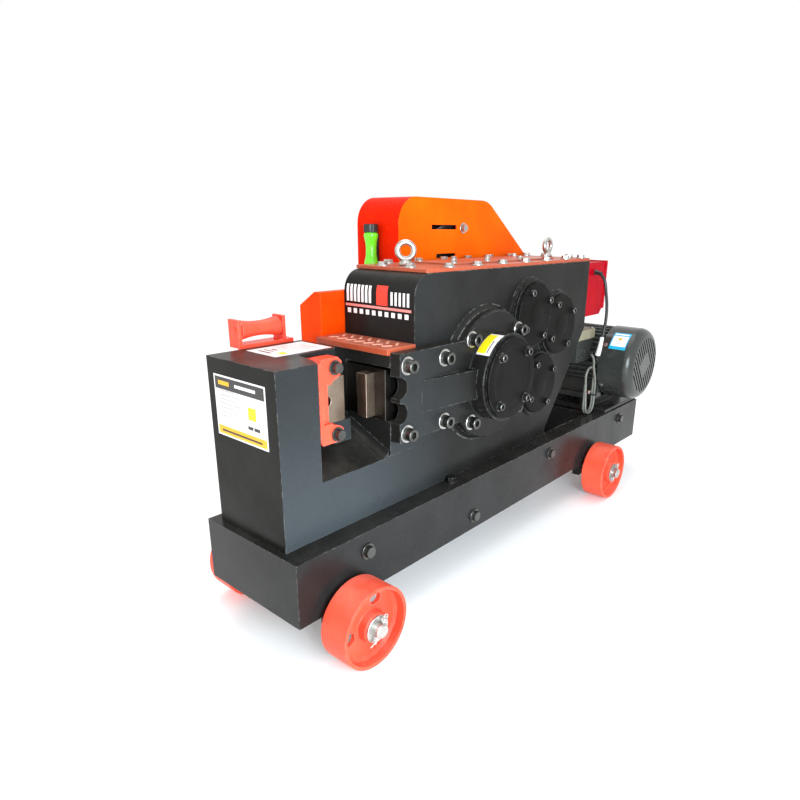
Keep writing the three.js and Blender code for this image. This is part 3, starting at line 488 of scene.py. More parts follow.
CLAMP_RED = paint("clamp_red", (0.92, 0.105, 0.050), (0.80, 0.055, 0.028), (0.22, 0.38),
                  wave=0.05, grain=0.08, wear_and_sheen=(0.88, 0.48, 0.40), wear_and_sheen_amount=0.5, shine=0.3)
BOX_RED = paint("box_red", (0.43, 0.002, 0.008), (0.37, 0.001, 0.013), (0.30, 0.42),
                wave=0.03, grain=0.03, wear_and_sheen=(0.60, 0.10, 0.08), wear_and_sheen_amount=0.3, shine=0.03)
MOTOR_GREEN = paint("motor_green", (0.046, 0.050, 0.044), (0.028, 0.031, 0.028), (0.20, 0.34),
                    wave=0.05, grain=0.05, wear_and_sheen=(0.30, 0.30, 0.27), wear_and_sheen_amount=0.2, coat=0.3)
RAISED_ORANGE = paint("raised_orange", (0.80, 0.42, 0.32), (0.72, 0.32, 0.22), (0.30, 0.45),
                      wave=0.04, grain=0.05)
STEEL = bare_metal("machined_steel", (0.62, 0.61, 0.58), (0.40, 0.38, 0.35), (0.24, 0.40),
                   brush=(1, 1, 9))
RAM_STEEL = bare_metal("ram_steel", (0.070, 0.064, 0.056), (0.030, 0.027, 0.024), (0.30, 0.50),
                       brush=(1, 9, 1))
SCREW_BLACK = bare_metal("screw_black", (0.15, 0.15, 0.14), (0.08, 0.08, 0.075), (0.30, 0.42))
ZINC = bare_metal("zinc_plate", (0.64, 0.63, 0.60), (0.38, 0.37, 0.35), (0.26, 0.42))
BLADE_STEEL = bare_metal("blade_steel", (0.42, 0.34, 0.27), (0.27, 0.20, 0.15), (0.30, 0.45),
                         brush=(1, 1, 14))
BRONZE = bare_metal("bearing_bronze", (0.60, 0.38, 0.16), (0.42, 0.25, 0.10), (0.25, 0.40))
CAST_IRON = oily("gear_iron", (0.20, 0.19, 0.18), (0.10, 0.095, 0.09))
BELT_RUBBER = moulded("belt_rubber", (0.030, 0.030, 0.030), (0.016, 0.016, 0.016), (0.6, 0.8), 0.10)
CABLE_BLACK = moulded("cable_black", (0.022, 0.022, 0.022), (0.012, 0.012, 0.012), (0.30, 0.42))
CABLE_GREY = moulded("cable_grey", (0.20, 0.205, 0.175), (0.13, 0.135, 0.115), (0.36, 0.50))
SLEEVE_WHITE = moulded("sleeve_white", (0.86, 0.86, 0.83), (0.76, 0.76, 0.72), (0.45, 0.60))
BEIGE = moulded("lid_beige", (0.30, 0.275, 0.185), (0.22, 0.20, 0.135), (0.45, 0.60))
BLACK_PLASTIC = moulded("black_plastic", (0.020, 0.020, 0.020), (0.011, 0.011, 0.011), (0.30, 0.45))
FLASK_GREEN = moulded("flask_green", (0.19, 0.86, 0.030), (0.12, 0.70, 0.018), (0.14, 0.24),
                      grain=0.01, scale=60.0)
BUTTON_GREEN = moulded("button_green", (0.02, 0.40, 0.05), (0.015, 0.30, 0.035), (0.2, 0.3))
BUTTON_RED = moulded("button_red", (0.72, 0.012, 0.010), (0.58, 0.010, 0.008), (0.2, 0.3))
LABEL_WHITE = moulded("label_white", (0.88, 0.84, 0.84), (0.82, 0.78, 0.78), (0.30, 0.40), 0.01)
LABEL_YELLOW = moulded("label_yellow", (0.93, 0.80, 0.01), (0.88, 0.70, 0.01), (0.30, 0.40), 0.01)
LABEL_AMBER = moulded("label_amber", (0.92, 0.46, 0.01), (0.86, 0.40, 0.01), (0.30, 0.40), 0.01)
LABEL_DARK = moulded("label_dark", (0.035, 0.035, 0.032), (0.025, 0.025, 0.024), (0.30, 0.40), 0.01)
LABEL_GREY = moulded("label_grey", (0.50, 0.48, 0.48), (0.44, 0.42, 0.42), (0.30, 0.40), 0.01)
LABEL_RED = moulded("label_red", (0.88, 0.045, 0.020), (0.80, 0.035, 0.016), (0.30, 0.40), 0.01)
LABEL_PINK = moulded("label_pink", (0.88, 0.28, 0.26), (0.80, 0.22, 0.20), (0.30, 0.40), 0.01)
LABEL_BLUE = moulded("label_blue", (0.01, 0.42, 0.66), (0.01, 0.34, 0.58), (0.30, 0.40), 0.01)


# ---------- camera and cords ----------
CAMERA_SPOT = (-1.15404, -0.81950, 0.70107)
CAMERA_ANGLES = (-49.519, 17.831, 0.569)
CAMERA_LENS = 27.693
CAMERA_SHIFT = (-0.0275, 0.0299)


def make_camera():
    """The camera at the photograph's viewpoint: azimuth, elevation and roll in degrees."""
    azimuth, elevation, roll = (math.radians(angle) for angle in CAMERA_ANGLES)
    back = Vector((math.sin(azimuth) * math.cos(elevation),
                   -math.cos(azimuth) * math.cos(elevation), math.sin(elevation)))
    level = Vector((0, 0, 1)).cross(back).normalized()
    rise = back.cross(level)
    right = level * math.cos(roll) + rise * math.sin(roll)
    up = rise * math.cos(roll) - level * math.sin(roll)
    data = bpy.data.cameras.new("camera")
    data.sensor_width = 36
    data.lens = CAMERA_LENS
    data.shift_x, data.shift_y = CAMERA_SHIFT
    camera = bpy.data.objects.new("camera", data)
    bpy.context.scene.collection.objects.link(camera)
    basis = Matrix((right, up, back)).transposed().to_4x4()
    camera.matrix_world = Matrix.Translation(CAMERA_SPOT) @ basis
    bpy.context.scene.camera = camera


def run_of_cable(name, points, diameter, look, replaces):
    """A round cable through the points, as one smooth open curve."""
    data = bpy.data.curves.new(name, "CURVE")
    data.dimensions = "3D"
    data.resolution_u = 6
    data.bevel_depth = diameter / 2 * MM
    data.bevel_resolution = 5
    data.use_fill_caps = True
    spline = data.splines.new("BEZIER")
    spline.bezier_points.add(len(points) - 1)
    for knot, point in zip(spline.bezier_points, points):
        knot.co = at(*point)
        knot.handle_left_type = "AUTO"
        knot.handle_right_type = "AUTO"
    data.materials.append(look)
    obj = bpy.data.objects.new(name, data)
    bpy.context.scene.collection.objects.link(obj)
    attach(obj, "root")
    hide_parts(*replaces)
    return obj


def strain_relief(name, spot, direction, root_radius, tip_radius, length, look):
    """A tapered, ribbed boot where a cable leaves a housing."""
    profile = [(tip_radius - 1.4, -2), (root_radius, -2), (root_radius, 2)]
    ribs = 5
    for rib in range(ribs):
        start = 2 + (length - 3) * rib / ribs
        radius = root_radius - 1 + (tip_radius - root_radius + 1) * (rib + 1) / ribs
        step = (length - 3) / ribs
        profile += [(radius, start + 0.2 * step), (radius, start + 0.75 * step)]
        profile += [(radius - 0.6, start + 0.8 * step), (radius - 0.6, start + 1.1 * step)]
    profile += [(tip_radius - 1.0, length), (tip_radius - 1.4, length), (tip_radius - 1.4, -2)]
    return piece(name, facing(spun(profile, 32), direction, spot), look)


CABLE_DIAMETER = 8
CABLE_EXIT = (1045, 52, 499)
CABLE_ROUTE = [
    CABLE_EXIT, (1045, 44, 498), (1044.5, 36, 494), (1044.5, 29, 487), (1045, 24, 478),
    (1046, 21, 467), (1048, 19.3, 452), (1053, 18, 434), (1057, 17, 414), (1060, 17, 392),
    (1061, 18, 370), (1061, 20, 350), (1060, 22.5, 331), (1059.5, 25, 312), (1060.5, 28, 295),
    (1063, 32, 281), (1067.5, 37, 270.5), (1074, 43, 263.5), (1081.5, 48.5, 260), (1090, 52, 259)]

LEAD_DIAMETER = 6
LEAD_EXIT = (1055, 62, 286)
HANK = {"x": 1051, "run": 24, "low": 141.8, "high": 222, "near": 37, "pitch": 6.2, "turns": 2}


def hank_route():
    """The spare lead: out of its gland, down in one bend, then round the hank turn by turn."""
    x, y, z = LEAD_EXIT
    bend = 25
    points = [LEAD_EXIT]
    for angle in (18, 36, 54, 72, 90):
        turn = math.radians(angle)
        points.append((x, y - bend * math.sin(turn), z - bend + bend * math.cos(turn)))
    right = HANK["x"] + HANK["run"]
    left = HANK["x"] - HANK["run"]
    entry_top, entry_low = z - bend, 195
    for step in range(1, 9):
        part = step / 8
        ease = part * part * (3 - 2 * part)
        points.append((x + (right - x) * ease, HANK["near"], entry_top + (entry_low - entry_top) * part))
    for turn in range(HANK["turns"]):
        depth = HANK["near"] + HANK["pitch"] * turn
        last = turn == HANK["turns"] - 1
        points.append((right, depth, HANK["low"] + 30))
        points += [(a, depth, b) for a, b in arc(HANK["x"], HANK["low"], HANK["run"], 0, -180, 8)]
        after = depth if last else depth + HANK["pitch"]
        for part in (0.25, 0.5, 0.75):
            height = HANK["low"] + (HANK["high"] - HANK["low"]) * part
            points.append((left, depth + (after - depth) * part, height))
        if not last:
            points += [(a, after, b) for a, b in arc(HANK["x"], HANK["high"], HANK["run"], 180, 0, 8)]
            points.append((right, after, HANK["high"] - 30))
    return points


def cable_tie(name, x, z, y0, y1):
    """A thin nylon band round the hank's two right-hand runs, with its square head."""
    half = LEAD_DIAMETER / 2 + 0.4
    outer = block(x - half - 1.1, x + half + 1.1, y0 - half - 1.1, y1 + half + 1.1, z - 1.6, z + 1.6)
    band = carve(outer, block(x - half, x + half, y0 - half, y1 + half, z - 3, z + 3))
    head = block(x - 3, x + 3, y0 - half - 5, y0 - half - 0.8, z - 2.6, z + 2.6)
    return piece(name, merged(band, head), BLACK_PLASTIC, width=0.4)


def make_cords():
    cable = run_of_cable("motor_cable_run", CABLE_ROUTE, CABLE_DIAMETER, CABLE_BLACK,
                         ("motor_cable",))
    upper = strain_relief("cable_boot_box", (1045, 53, 499), (0, -1, -0.12), 7, 4.8, 20, BLACK_PLASTIC)
    lower = strain_relief("cable_boot_motor", (1091, 53, 259), (-0.82, -0.57, 0.08), 8, 5.2, 20,
                          BLACK_PLASTIC)
    sleeve_line = [(1060, 22.5, 331), (1059.5, 25, 312), (1060.5, 28, 295), (1063, 32, 281)]
    sleeve = sleeve_round("cable_sleeve", sleeve_line, 4.9, 7.2, SLEEVE_WHITE)
    route = hank_route()
    lead = run_of_cable("spare_lead_run", route, LEAD_DIAMETER, CABLE_GREY,
                        ("spare_lead", "spare_lead_hank"))
    depth = HANK["near"] + HANK["pitch"] * (HANK["turns"] - 1)
    low_tie = cable_tie("hank_tie_low", HANK["x"] + HANK["run"], 165, HANK["near"], depth)
    boot = strain_relief("lead_boot", (1055, 63, 286), (0, -1, -0.1), 7, 4.2, 20, BLACK_PLASTIC)


def sleeve_round(name, line, narrow, wide, look):
    """A shrink sleeve that follows a few points of the cable, a little wider at its lower end."""
    knots = [Vector(point) for point in line]
    bm = bmesh.new()
    steps = 28
    rings = []
    for index, knot in enumerate(knots):
        before = knots[max(index - 1, 0)]
        after = knots[min(index + 1, len(knots) - 1)]
        tangent = (after - before).normalized()
        side = tangent.cross(Vector((0, 1, 0))).normalized()
        front = side.cross(tangent)
        radius = narrow + (wide - narrow) * index / (len(knots) - 1)
        reaches = [radius]
        if index == 0:
            reaches = [4.2, radius]
        if index == len(knots) - 1:
            reaches = [radius, 4.2]
        for reach in reaches:
            ring = []
            for step in range(steps):
                turn = 2 * math.pi * step / steps
                ring.append(bm.verts.new(knot + (side * math.cos(turn) + front * math.sin(turn)) * reach))
            rings.append(ring)
    for lower, upper in zip(rings, rings[1:] + rings[:1]):
        for step in range(steps):
            after = (step + 1) % steps
            bm.faces.new((lower[step], lower[after], upper[after], upper[step]))
    bmesh.ops.recalc_face_normals(bm, faces=bm.faces)
    return piece(name, bm, look)


make_camera()
make_cords()


# ---------- fasteners ----------
def socket_screw(head, height, washer=0.0):
    """A socket-head screw standing on local Z = 0: its washer, and a head with a hexagon socket."""
    base = 0.0
    parts = []
    if washer:
        rim = 1.3 * head
        parts.append(spun([(0, 0), (rim, 0), (rim, washer * 0.8), (rim - 0.5, washer), (0, washer)], 24))
        base = washer
    socket = head * 0.58
    top = base + height
    profile = [(0, base), (head, base), (head, top - 1.2), (head - 1.2, top), (socket + 0.8, top)]
    profile += [(socket, top - 0.8, 6), (socket, top - height * 0.6, 6), (0, top - height * 0.6)]
    parts.append(spun(profile, 24))
    return merged(*parts)


def hex_bolt(head, height, washer=0.0):
    """A hexagon bolt's head on its washer, standing on local Z = 0."""
    base = 0.0
    parts = []
    if washer:
        rim = 1.35 * head
        parts.append(spun([(0, 0), (rim, 0), (rim, washer * 0.8), (rim - 0.5, washer), (0, washer)], 24))
        base = washer
    top = base + height
    profile = [(0, base), (head, base, 6), (head, top - 1.0, 6), (head * 0.90, top), (0, top)]
    parts.append(spun(profile, 24))
    return merged(*parts)


def fixings(name, make, spots, direction, look, body="root", width=0.0):
    """The same fastener at several spots, as one piece."""
    parts = [facing(make(), direction, spot) for spot in spots]
    return piece(name, merged(*parts), look, body, width=width)


NEAR = (0, -1, 0)
FAR = (0, 1, 0)
UP = (0, 0, 1)
RIGHT = (1, 0, 0)


def round_the(line, radius, angles, y):
    """Spots on a bolt circle across the machine."""
    spots = []
    for angle in angles:
        turn = math.radians(angle)
        spots.append((line.x + radius * math.cos(turn), y, line.z + radius * math.sin(turn)))
    return spots


# ---------- base and wheels ----------
def make_base():
    rounded("base_tray", SHEET_BLACK, 2.2)
    side = [(152, 0, 77), (776, 0, 83), (464, 0, 30), (1180, 0, 80)]
    fixings("base_bolts_near", lambda: hex_bolt(11, 7, 2.5), side, NEAR, SCREW_BLACK)
    width = tray_width()
    fixings("base_bolts_far", lambda: hex_bolt(9, 6, 2), [(x, width, z) for x, _, z in side], FAR,
            SCREW_BLACK)
    lugs = [(421, 30, TRAY_HEIGHT), (421, width - 13, TRAY_HEIGHT), (100, width - 13, TRAY_HEIGHT)]
    sliver = [(877, 45), (884, 43.4), (930, 43), (970, 43.4), (977, 45.2), (930, 45.6)]
    strips = [prism(sliver, TRAY_HEIGHT - 3, TRAY_HEIGHT + 0.3, "XY")]
    strips.append(prism([(x - 150, y) for x, y in sliver], TRAY_HEIGHT - 3, TRAY_HEIGHT + 0.2, "XY"))
    piece("base_worn_edge", merged(*strips), ZINC, width=0.2)
    fixings("foot_bolts", lambda: hex_bolt(10, 7, 2.5), lugs, UP, SCREW_BLACK)


def tray_width():
    return extent("base_tray")[1].y


WHEELS = [("front_wheel_near", "front_near_wheel", 1), ("front_wheel_far", "front_far_wheel", -1),
          ("rear_wheel_near", "rear_near_wheel", 1), ("rear_wheel_far", "rear_far_wheel", -1)]


def make_wheels():
    """Dished cast wheels: a wide rim, a web with three round holes and a long hub."""
    for node, body, side in WHEELS:
        low, high = extent(node)
        line = centre(node)
        face = low.y if side > 0 else high.y
        radius = (high.z - low.z) / 2
        inner = radius - 7

        def deep(distance):
            return face + side * distance
        profile = [(14, deep(2)), (24, deep(2)), (26, deep(4)), (28, deep(17)), (33, deep(20)),
                   (inner - 6, deep(20)), (inner - 1, deep(16)), (inner, deep(2)), (inner + 1, deep(0.6)),
                   (inner + 3, deep(0)), (radius - 2, deep(0)), (radius - 0.6, deep(0.8)),
                   (radius, deep(2.4)), (radius, deep(55.6)), (radius - 0.6, deep(57.2)),
                   (radius - 2, deep(58)), (inner + 2, deep(58)), (inner, deep(56)), (inner - 1, deep(32)),
                   (inner - 6, deep(28)), (33, deep(28)), (27, deep(31)), (26, deep(56)), (24, deep(58)),
                   (14, deep(58)), (14, deep(2))]
        wheel = spun_across(profile, line, 96)
        for spot in round_the(line, 45, (70, 190, 310), 0):
            hole = rod(11.5, (spot[0], deep(12), spot[2]), (spot[0], deep(36), spot[2]), 32, 0.1)
            wheel = carve(wheel, hole)
        piece(node + "_cast", wheel, WHEEL_RED, body, (node,), width=0.6)


def make_axles():
    for name, line in zip(("front_axle", "rear_axle"), AXLE_LINES):
        low, high = extent(name)
        bar = rod(13, (line.x, low.y, line.z), (line.x, high.y, line.z), 48, 2.5)
        piece(name + "_bar", bar, STEEL, replaces=(name,))
        parts = []
        for side, end in ((1, low.y), (-1, high.y)):
            hub = end + side * 15.7
            disc = [(13.2, 0), (24, 0), (24, 2.4), (23.2, 3.2), (13.2, 3.2), (13.2, 0)]
            parts.append(facing(spun(disc, 48), (0, -side, 0), (line.x, hub, line.z)))
            pin = end + side * 8
            lean = Vector((math.sin(0.6), 0, math.cos(0.6)))
            middle = Vector((line.x, pin, line.z))
            parts.append(rod(2.4, middle - lean * 23, middle + lean * 19, 12, 0.5))
            for index in range(2):
                tail = middle - lean * 23
                spread = Vector((0.8 if index else -0.8, 0, 0.25))
                leg = rod(1.3, tail + lean, tail - lean * 6 + spread * 8, 8, 0.3)
                parts.append(leg)
            loop = torus(4.2, 1.5, 16, 8)
            parts.append(facing(loop, (0, 1, 0), middle + lean * 23))
        piece(name + "_washers_and_pins", merged(*parts), ZINC)


def torus(major, minor, steps=48, sides=16):
    """A ring lying in the local XY plane."""
    profile = [(major + minor * math.cos(2 * math.pi * i / sides),
                minor * math.sin(2 * math.pi * i / sides)) for i in range(sides)]
    profile.append(profile[0])
    return spun(profile, steps)


# ---------- cast frame ----------
FLANGE_SCREWS = [(268, 381), (370, 380), (453, 403), (618, 404), (267, 258), (372, 258),
                 (458, 235), (618, 235)]


def make_casting():
    rounded("main_casting", CASTING_BLACK, 3.2)
    piece("throat_fillet", throat_fillet(), CASTING_BLACK)
    ring = [(133, 31), (134.2, 36), (138, 39.8), (143, 40.9), (143, 41.2), (132, 41.2), (133, 31)]
    collar = spun_across(ring, CRANK, 96)
    bosses = [collar]
    for line, radius in ((SECOND, 75), (THIRD, 76), (INPUT, 76)):
        fillet = [(radius - 2, 34), (radius + 0.4, 34), (radius + 1.4, 38.4), (radius + 5, 40.9),
                  (radius + 5, 41.2), (radius - 2, 41.2), (radius - 2, 34)]
        bosses.append(spun_across(fillet, line, 96))
    piece("casting_fillets", merged(*bosses), CASTING_BLACK)


def throat_fillet():
    """The cast curve where the throat's sloping floor meets the ram housing."""
    wall, radius = 249.4, 18
    section = [(wall, -1), (wall - radius - 4, -1), (wall - radius - 4, 0.02)]
    section += [(a, b) for a, b in arc(wall - radius, radius, radius, -90, 0, 10)] + [(wall, radius)]
    fillet = prism(section, 41.5, 221)
    for vert in fillet.verts:
        vert.co.z += 211 + (vert.co.y - 41) * 82 / 181
    return fillet


def make_side_plate():
    """The cast plate that closes the ram channel: a foot with bar notches, a round flange, a rib
    that rises to the bearing boss, and the boss."""
    low, high = extent("side_plate")
    near, back = 14.4, high.y
    boss_face = low.y
    foot_back = 36.7
    foot = [(250, 243), (440, 243), (440, 403), (250, 403)]
    foot += arc(250, 343, 19, 90, -90, 14) + arc(250, 297, 19, 90, -90, 14)
    plate = prism(foot, near, foot_back)
    plate = carve(plate, block(320.5, 470, foot_back - 1, back, 243, 403), "UNION")
    flange = spun_across([(0, near), (130, near), (133, near + 3), (133, back), (0, back)], CRANK, 96)
    plate = carve(plate, flange, "UNION")
    ramp = [(308, near + 1), (308, near - 0.5), (446, -5), (537, -9), (537, near + 1)]
    plate = carve(plate, prism(ramp, 288, 347, "XY"), "UNION")
    boss = [(0, boss_face), (88.5, boss_face), (90, boss_face + 1.5), (90, near - 4),
            (92, near - 1), (96, near + 0.8), (96, near + 2), (0, near + 2)]
    plate = carve(plate, spun_across(boss, CRANK, 96), "UNION")
    for line in (SECOND, INPUT):
        plate = carve(plate, rod(78.5, (line.x, near - 2, line.z), (line.x, back + 2, line.z), 96, 0.1))
    bore = rod(44.5, (CRANK.x, boss_face - 1, CRANK.z), (CRANK.x, back + 2, CRANK.z), 64, 0.1)
    plate = carve(plate, bore)
    piece("side_plate_cast", plate, CASTING_BLACK, replaces=("side_plate",), width=2.6)
    spots = [(x, near, z) for x, z in FLANGE_SCREWS]
    fixings("side_plate_screws", lambda: socket_screw(12, 16, 3), spots, NEAR, SCREW_BLACK)
    rings = [facing(spun([(12.5, 0), (16.5, 0), (16.5, 2.4), (15.7, 3.3), (12.5, 3.3), (12.5, 0)], 32),
                    NEAR, spot) for spot in spots]
    piece("side_plate_washers", merged(*rings), ZINC)


def make_covers():
    near, far = extent("crank_cover")[0].y, extent("crank_cover")[1].y
    disc = [(0, near + 1.6), (60, near + 1.6), (64, near + 0.4), (67, near), (79, near),
            (81.5, near + 0.8), (83, near + 2.6), (83, far), (0, far)]
    piece("crank_cover_disc", spun_across(disc, CRANK, 96), COVER_BLACK,
          replaces=("crank_cover",))
    fixings("crank_cover_screws", lambda: socket_screw(8, 9, 1.6),
            round_the(CRANK, 68, (46, 134, 226, 314), near), NEAR, SCREW_BLACK)
    middle = (THIRD + INPUT) / 2
    along = math.degrees(math.atan2(THIRD.z - INPUT.z, THIRD.x - INPUT.x))
    for name, line, side in (("second_shaft_cover", SECOND, 0), ("third_shaft_cover", THIRD, -1),
                             ("input_shaft_cover", INPUT, 1)):
        low, high = extent(name)
        near, far = low.y, high.y
        disc = [(0, near), (22, near), (26, near + 1.6), (32, near + 3), (64.5, near + 3),
                (68, near + 3.6), (70, near + 5.6), (70, far), (0, far)]
        cover = spun_across(disc, line, 96)
        if side:
            cutter = block(-100, 100, near - 5, far + 5, -160, 160)
            turn_about(cutter, Matrix.Translation((side * 100.3, 0, 0)))
            turn_about(cutter, Matrix.Rotation(math.radians(-along), 4, "Y"))
            turn_about(cutter, Matrix.Translation((middle.x, 0, middle.z)))
            cover = carve(cover, cutter)
        piece(name + "_disc", cover, COVER_BLACK, replaces=(name,), width=0.8)
        fixings(name + "_screws", lambda: socket_screw(7.5, 9, 0),
                round_the(line, 56, (30, 120, 210, 300), near + 3), NEAR, SCREW_BLACK)


def make_top():
    """The gearbox lid with its zinc bolts, the ram housing's lid and the two lifting eyes."""
    rounded("top_cover", COVER_ORANGE, 1.2)
    rounded("ram_cover", COVER_ORANGE, 1.6)
    low, high = extent("top_cover")
    sheet = GEARBOX_TOP + 7.3
    spots = []
    for x in (430, 520, 610, 700, 790, 880, 960):
        spots += [(x, low.y + 12, sheet), (x, high.y - 12, sheet)]
    spots += [(low.x + 14, 95, sheet), (low.x + 14, 165, sheet), (high.x - 14, 95, sheet),
              (high.x - 14, 165, sheet)]
    fixings("lid_bolts", lambda: hex_bolt(9, 6, 2), spots, UP, ZINC)
    panel = high.z
    hatch = [(x, y, panel) for x in (486, 600, 730, 844) for y in (88, 177)]
    fixings("hatch_bolts", lambda: hex_bolt(6.5, 5, 1.5), hatch, UP, ZINC)
    raised_marks()
    for name in ("eye_bolt_front", "eye_bolt_rear"):
        low, high = extent(name)
        middle = centre(name)
        seat = GEARBOX_TOP + 7.6
        turn = -45 if name.endswith("front") else 0
        eye = torus(15.5, 5.2, 64, 20)
        turn_about(eye, Matrix.Rotation(math.pi / 2, 4, "X"))
        turn_about(eye, Matrix.Rotation(math.radians(turn), 4, "Z"))
        turn_about(eye, Matrix.Translation((middle.x, middle.y, high.z - 20.7)))
        collar = [(0, seat), (12, seat), (13, seat + 1.5), (13, seat + 5), (9.5, seat + 9),
                  (7, seat + 13), (0, seat + 13)]
        stem = turn_about(spun(collar, 48), Matrix.Translation((middle.x, middle.y, 0)))
        shank = rod(8, (middle.x, middle.y, low.z), (middle.x, middle.y, seat), 32, 1)
        piece(name + "_forged", merged(eye, stem, shank), ZINC, replaces=(name,))


def raised_marks():
    """Short cast bars in a herringbone on the ram housing's lid."""
    low, high = extent("ram_cover")
    top = high.z
    parts = []
    for row in range(7):
        for column in range(2):
            lean = math.radians(35 if column else -35)
            outline = arc(0, 0, 2.6, 90, 270, 6) + [(0, -2.6), (15, -2.6)]
            outline += arc(15, 0, 2.6, -90, 90, 6)
            bar = prism(outline, top - 0.5, top + 1.1, "XY")
            turn_about(bar, Matrix.Translation((-7.5, 0, 0)))
            turn_about(bar, Matrix.Rotation(lean, 4, "Z"))
            spot = (low.x + 24 + 26 * column, low.y + 24 + 23 * row, 0)
            parts.append(turn_about(bar, Matrix.Translation(spot)))
    piece("ram_cover_marks", merged(*parts), RAISED_ORANGE, width=0.5)


# ---------- blades, clamp and ram ----------
def make_blades():
    rounded("blade_clamp", CLAMP_RED, 2.0)
    rounded("fixed_blade", BLADE_STEEL, 0.9)
    rounded("moving_blade", BLADE_STEEL, 0.9, "ram")
    rounded("ram", RAM_STEEL, 1.2, "ram")
    near = extent("blade_clamp")[0].y
    fixings("clamp_bolts", lambda: hex_bolt(9.5, 9, 2.5), [(153, near, 388), (154, near, 273)], NEAR,
            SCREW_BLACK)
    low, high = extent("moving_blade")
    eye = (low + high) / 2
    fixings("moving_blade_screw", lambda: socket_screw(8.4, 6), [(eye.x, low.y + 8, eye.z)], NEAR,
            SCREW_BLACK, "ram")


# ---------- guards ----------
def make_guards():
    low, high = extent("belt_guard")
    guard = from_node("belt_guard")
    floor = high.y - 9.4
    cups = [(530, floor, 160), (530, floor, 600), (830, floor, 630), (1240, floor, 330),
            (1270, floor, 150), (900, floor, 150)]
    for x, y, z in cups:
        guard = carve(guard, rod(16, (x, y - 2, z), (x, high.y + 5, z), 40, 0.1))
    piece("belt_guard_sheet", guard, GUARD_ORANGE, replaces=("belt_guard",), width=0.9)
    dished = [(0, 0), (11.6, 0), (13.4, 1), (16.2, 9.3), (17.6, 9.3), (17.6, 7.6), (14.6, -0.8),
              (12.2, -1.6), (0, -1.6)]
    fixings("guard_bolt_cups", lambda: spun(dished, 40), cups, FAR, GUARD_ORANGE)
    fixings("guard_bolts_far", lambda: hex_bolt(7.5, 5.6, 1.6), cups, FAR, ZINC)
    fixings("guard_bolt_near", lambda: hex_bolt(9, 7, 2), [(715, low.y, 606)], NEAR,
            ZINC)
    rounded("rear_hood", HOOD_ORANGE, 1.2)
    straps = [bracket(x) for x in (520, 640, 900)]
    piece("guard_brackets", merged(*straps), SHEET_BLACK, width=0.8)
    hood_low, hood_high = extent("rear_hood")
    spots = [(x, hood_high.y, z) for x in (hood_low.x + 22, hood_high.x - 22)
             for z in (hood_low.z + 22, hood_high.z - 50)]
    fixings("hood_screws", lambda: hex_bolt(6.5, 5, 1.5), spots, FAR, ZINC)


def bracket(x):
    """A folded strip between the casting's far wall and the guard."""
    shelf = [(222.3, 508), (226.3, 508), (226.3, 470), (239.7, 470), (239.7, 466), (222.3, 466)]
    return prism(shelf, x - 18, x + 18, "YZ")


# ---------- motor ----------
def make_motor():
    """A finned totally enclosed motor: barrel, end shields, feet and a pressed fan cowl."""
    low, high = extent("motor_housing")
    line = MOTOR
    fins = 40
    outline = []
    for fin in range(fins):
        for radius, offset in ((87, 0), (87, 0.52), (96.4, 0.60), (97, 0.66), (97, 0.86), (96.4, 0.92)):
            turn = (fin + offset) * 2 * math.pi / fins
            outline.append((line.x + radius * math.cos(turn), line.z + radius * math.sin(turn)))
    barrel = prism(outline, 44, 200)
    front = [(0, low.y), (78, low.y), (88, low.y + 3), (94, low.y + 9), (94, 44.5), (0, 44.5)]
    back = [(0, 199), (96, 199), (97, 201), (97, 211), (94, 214), (66, 220), (58, 226), (50, high.y),
            (0, high.y)]
    parts = [barrel, spun_across(front, line, 96), spun_across(back, line, 96)]
    for side in (-1, 1):
        near_x, far_x = sorted((line.x + side * 50, line.x + side * 98))
        parts.append(block(near_x, far_x, 46, 196, line.z - 100, line.z - 86))
        post = line.x + side * 68
        parts.append(block(post - 8, post + 8, 46, 196, line.z - 88, line.z - 48))
    boss = rod(8, (CABLE_ROUTE[-1][0] + 2, 52, 259), (line.x - 80, 52, 259), 32, 1)
    parts.append(boss)
    piece("motor_housing_cast", merged(*parts), MOTOR_GREEN, replaces=("motor_housing",),
          width=0.7)
    feet = [(line.x + side * 88, y, line.z - 86) for side in (-1, 1) for y in (62, 178)]
    fixings("motor_foot_bolts", lambda: hex_bolt(9, 8, 2.5), feet, UP, ZINC)
    rounded("motor_slide_base", SHEET_BLACK, 1.5)
    make_cowl(line)
    make_terminal_box()


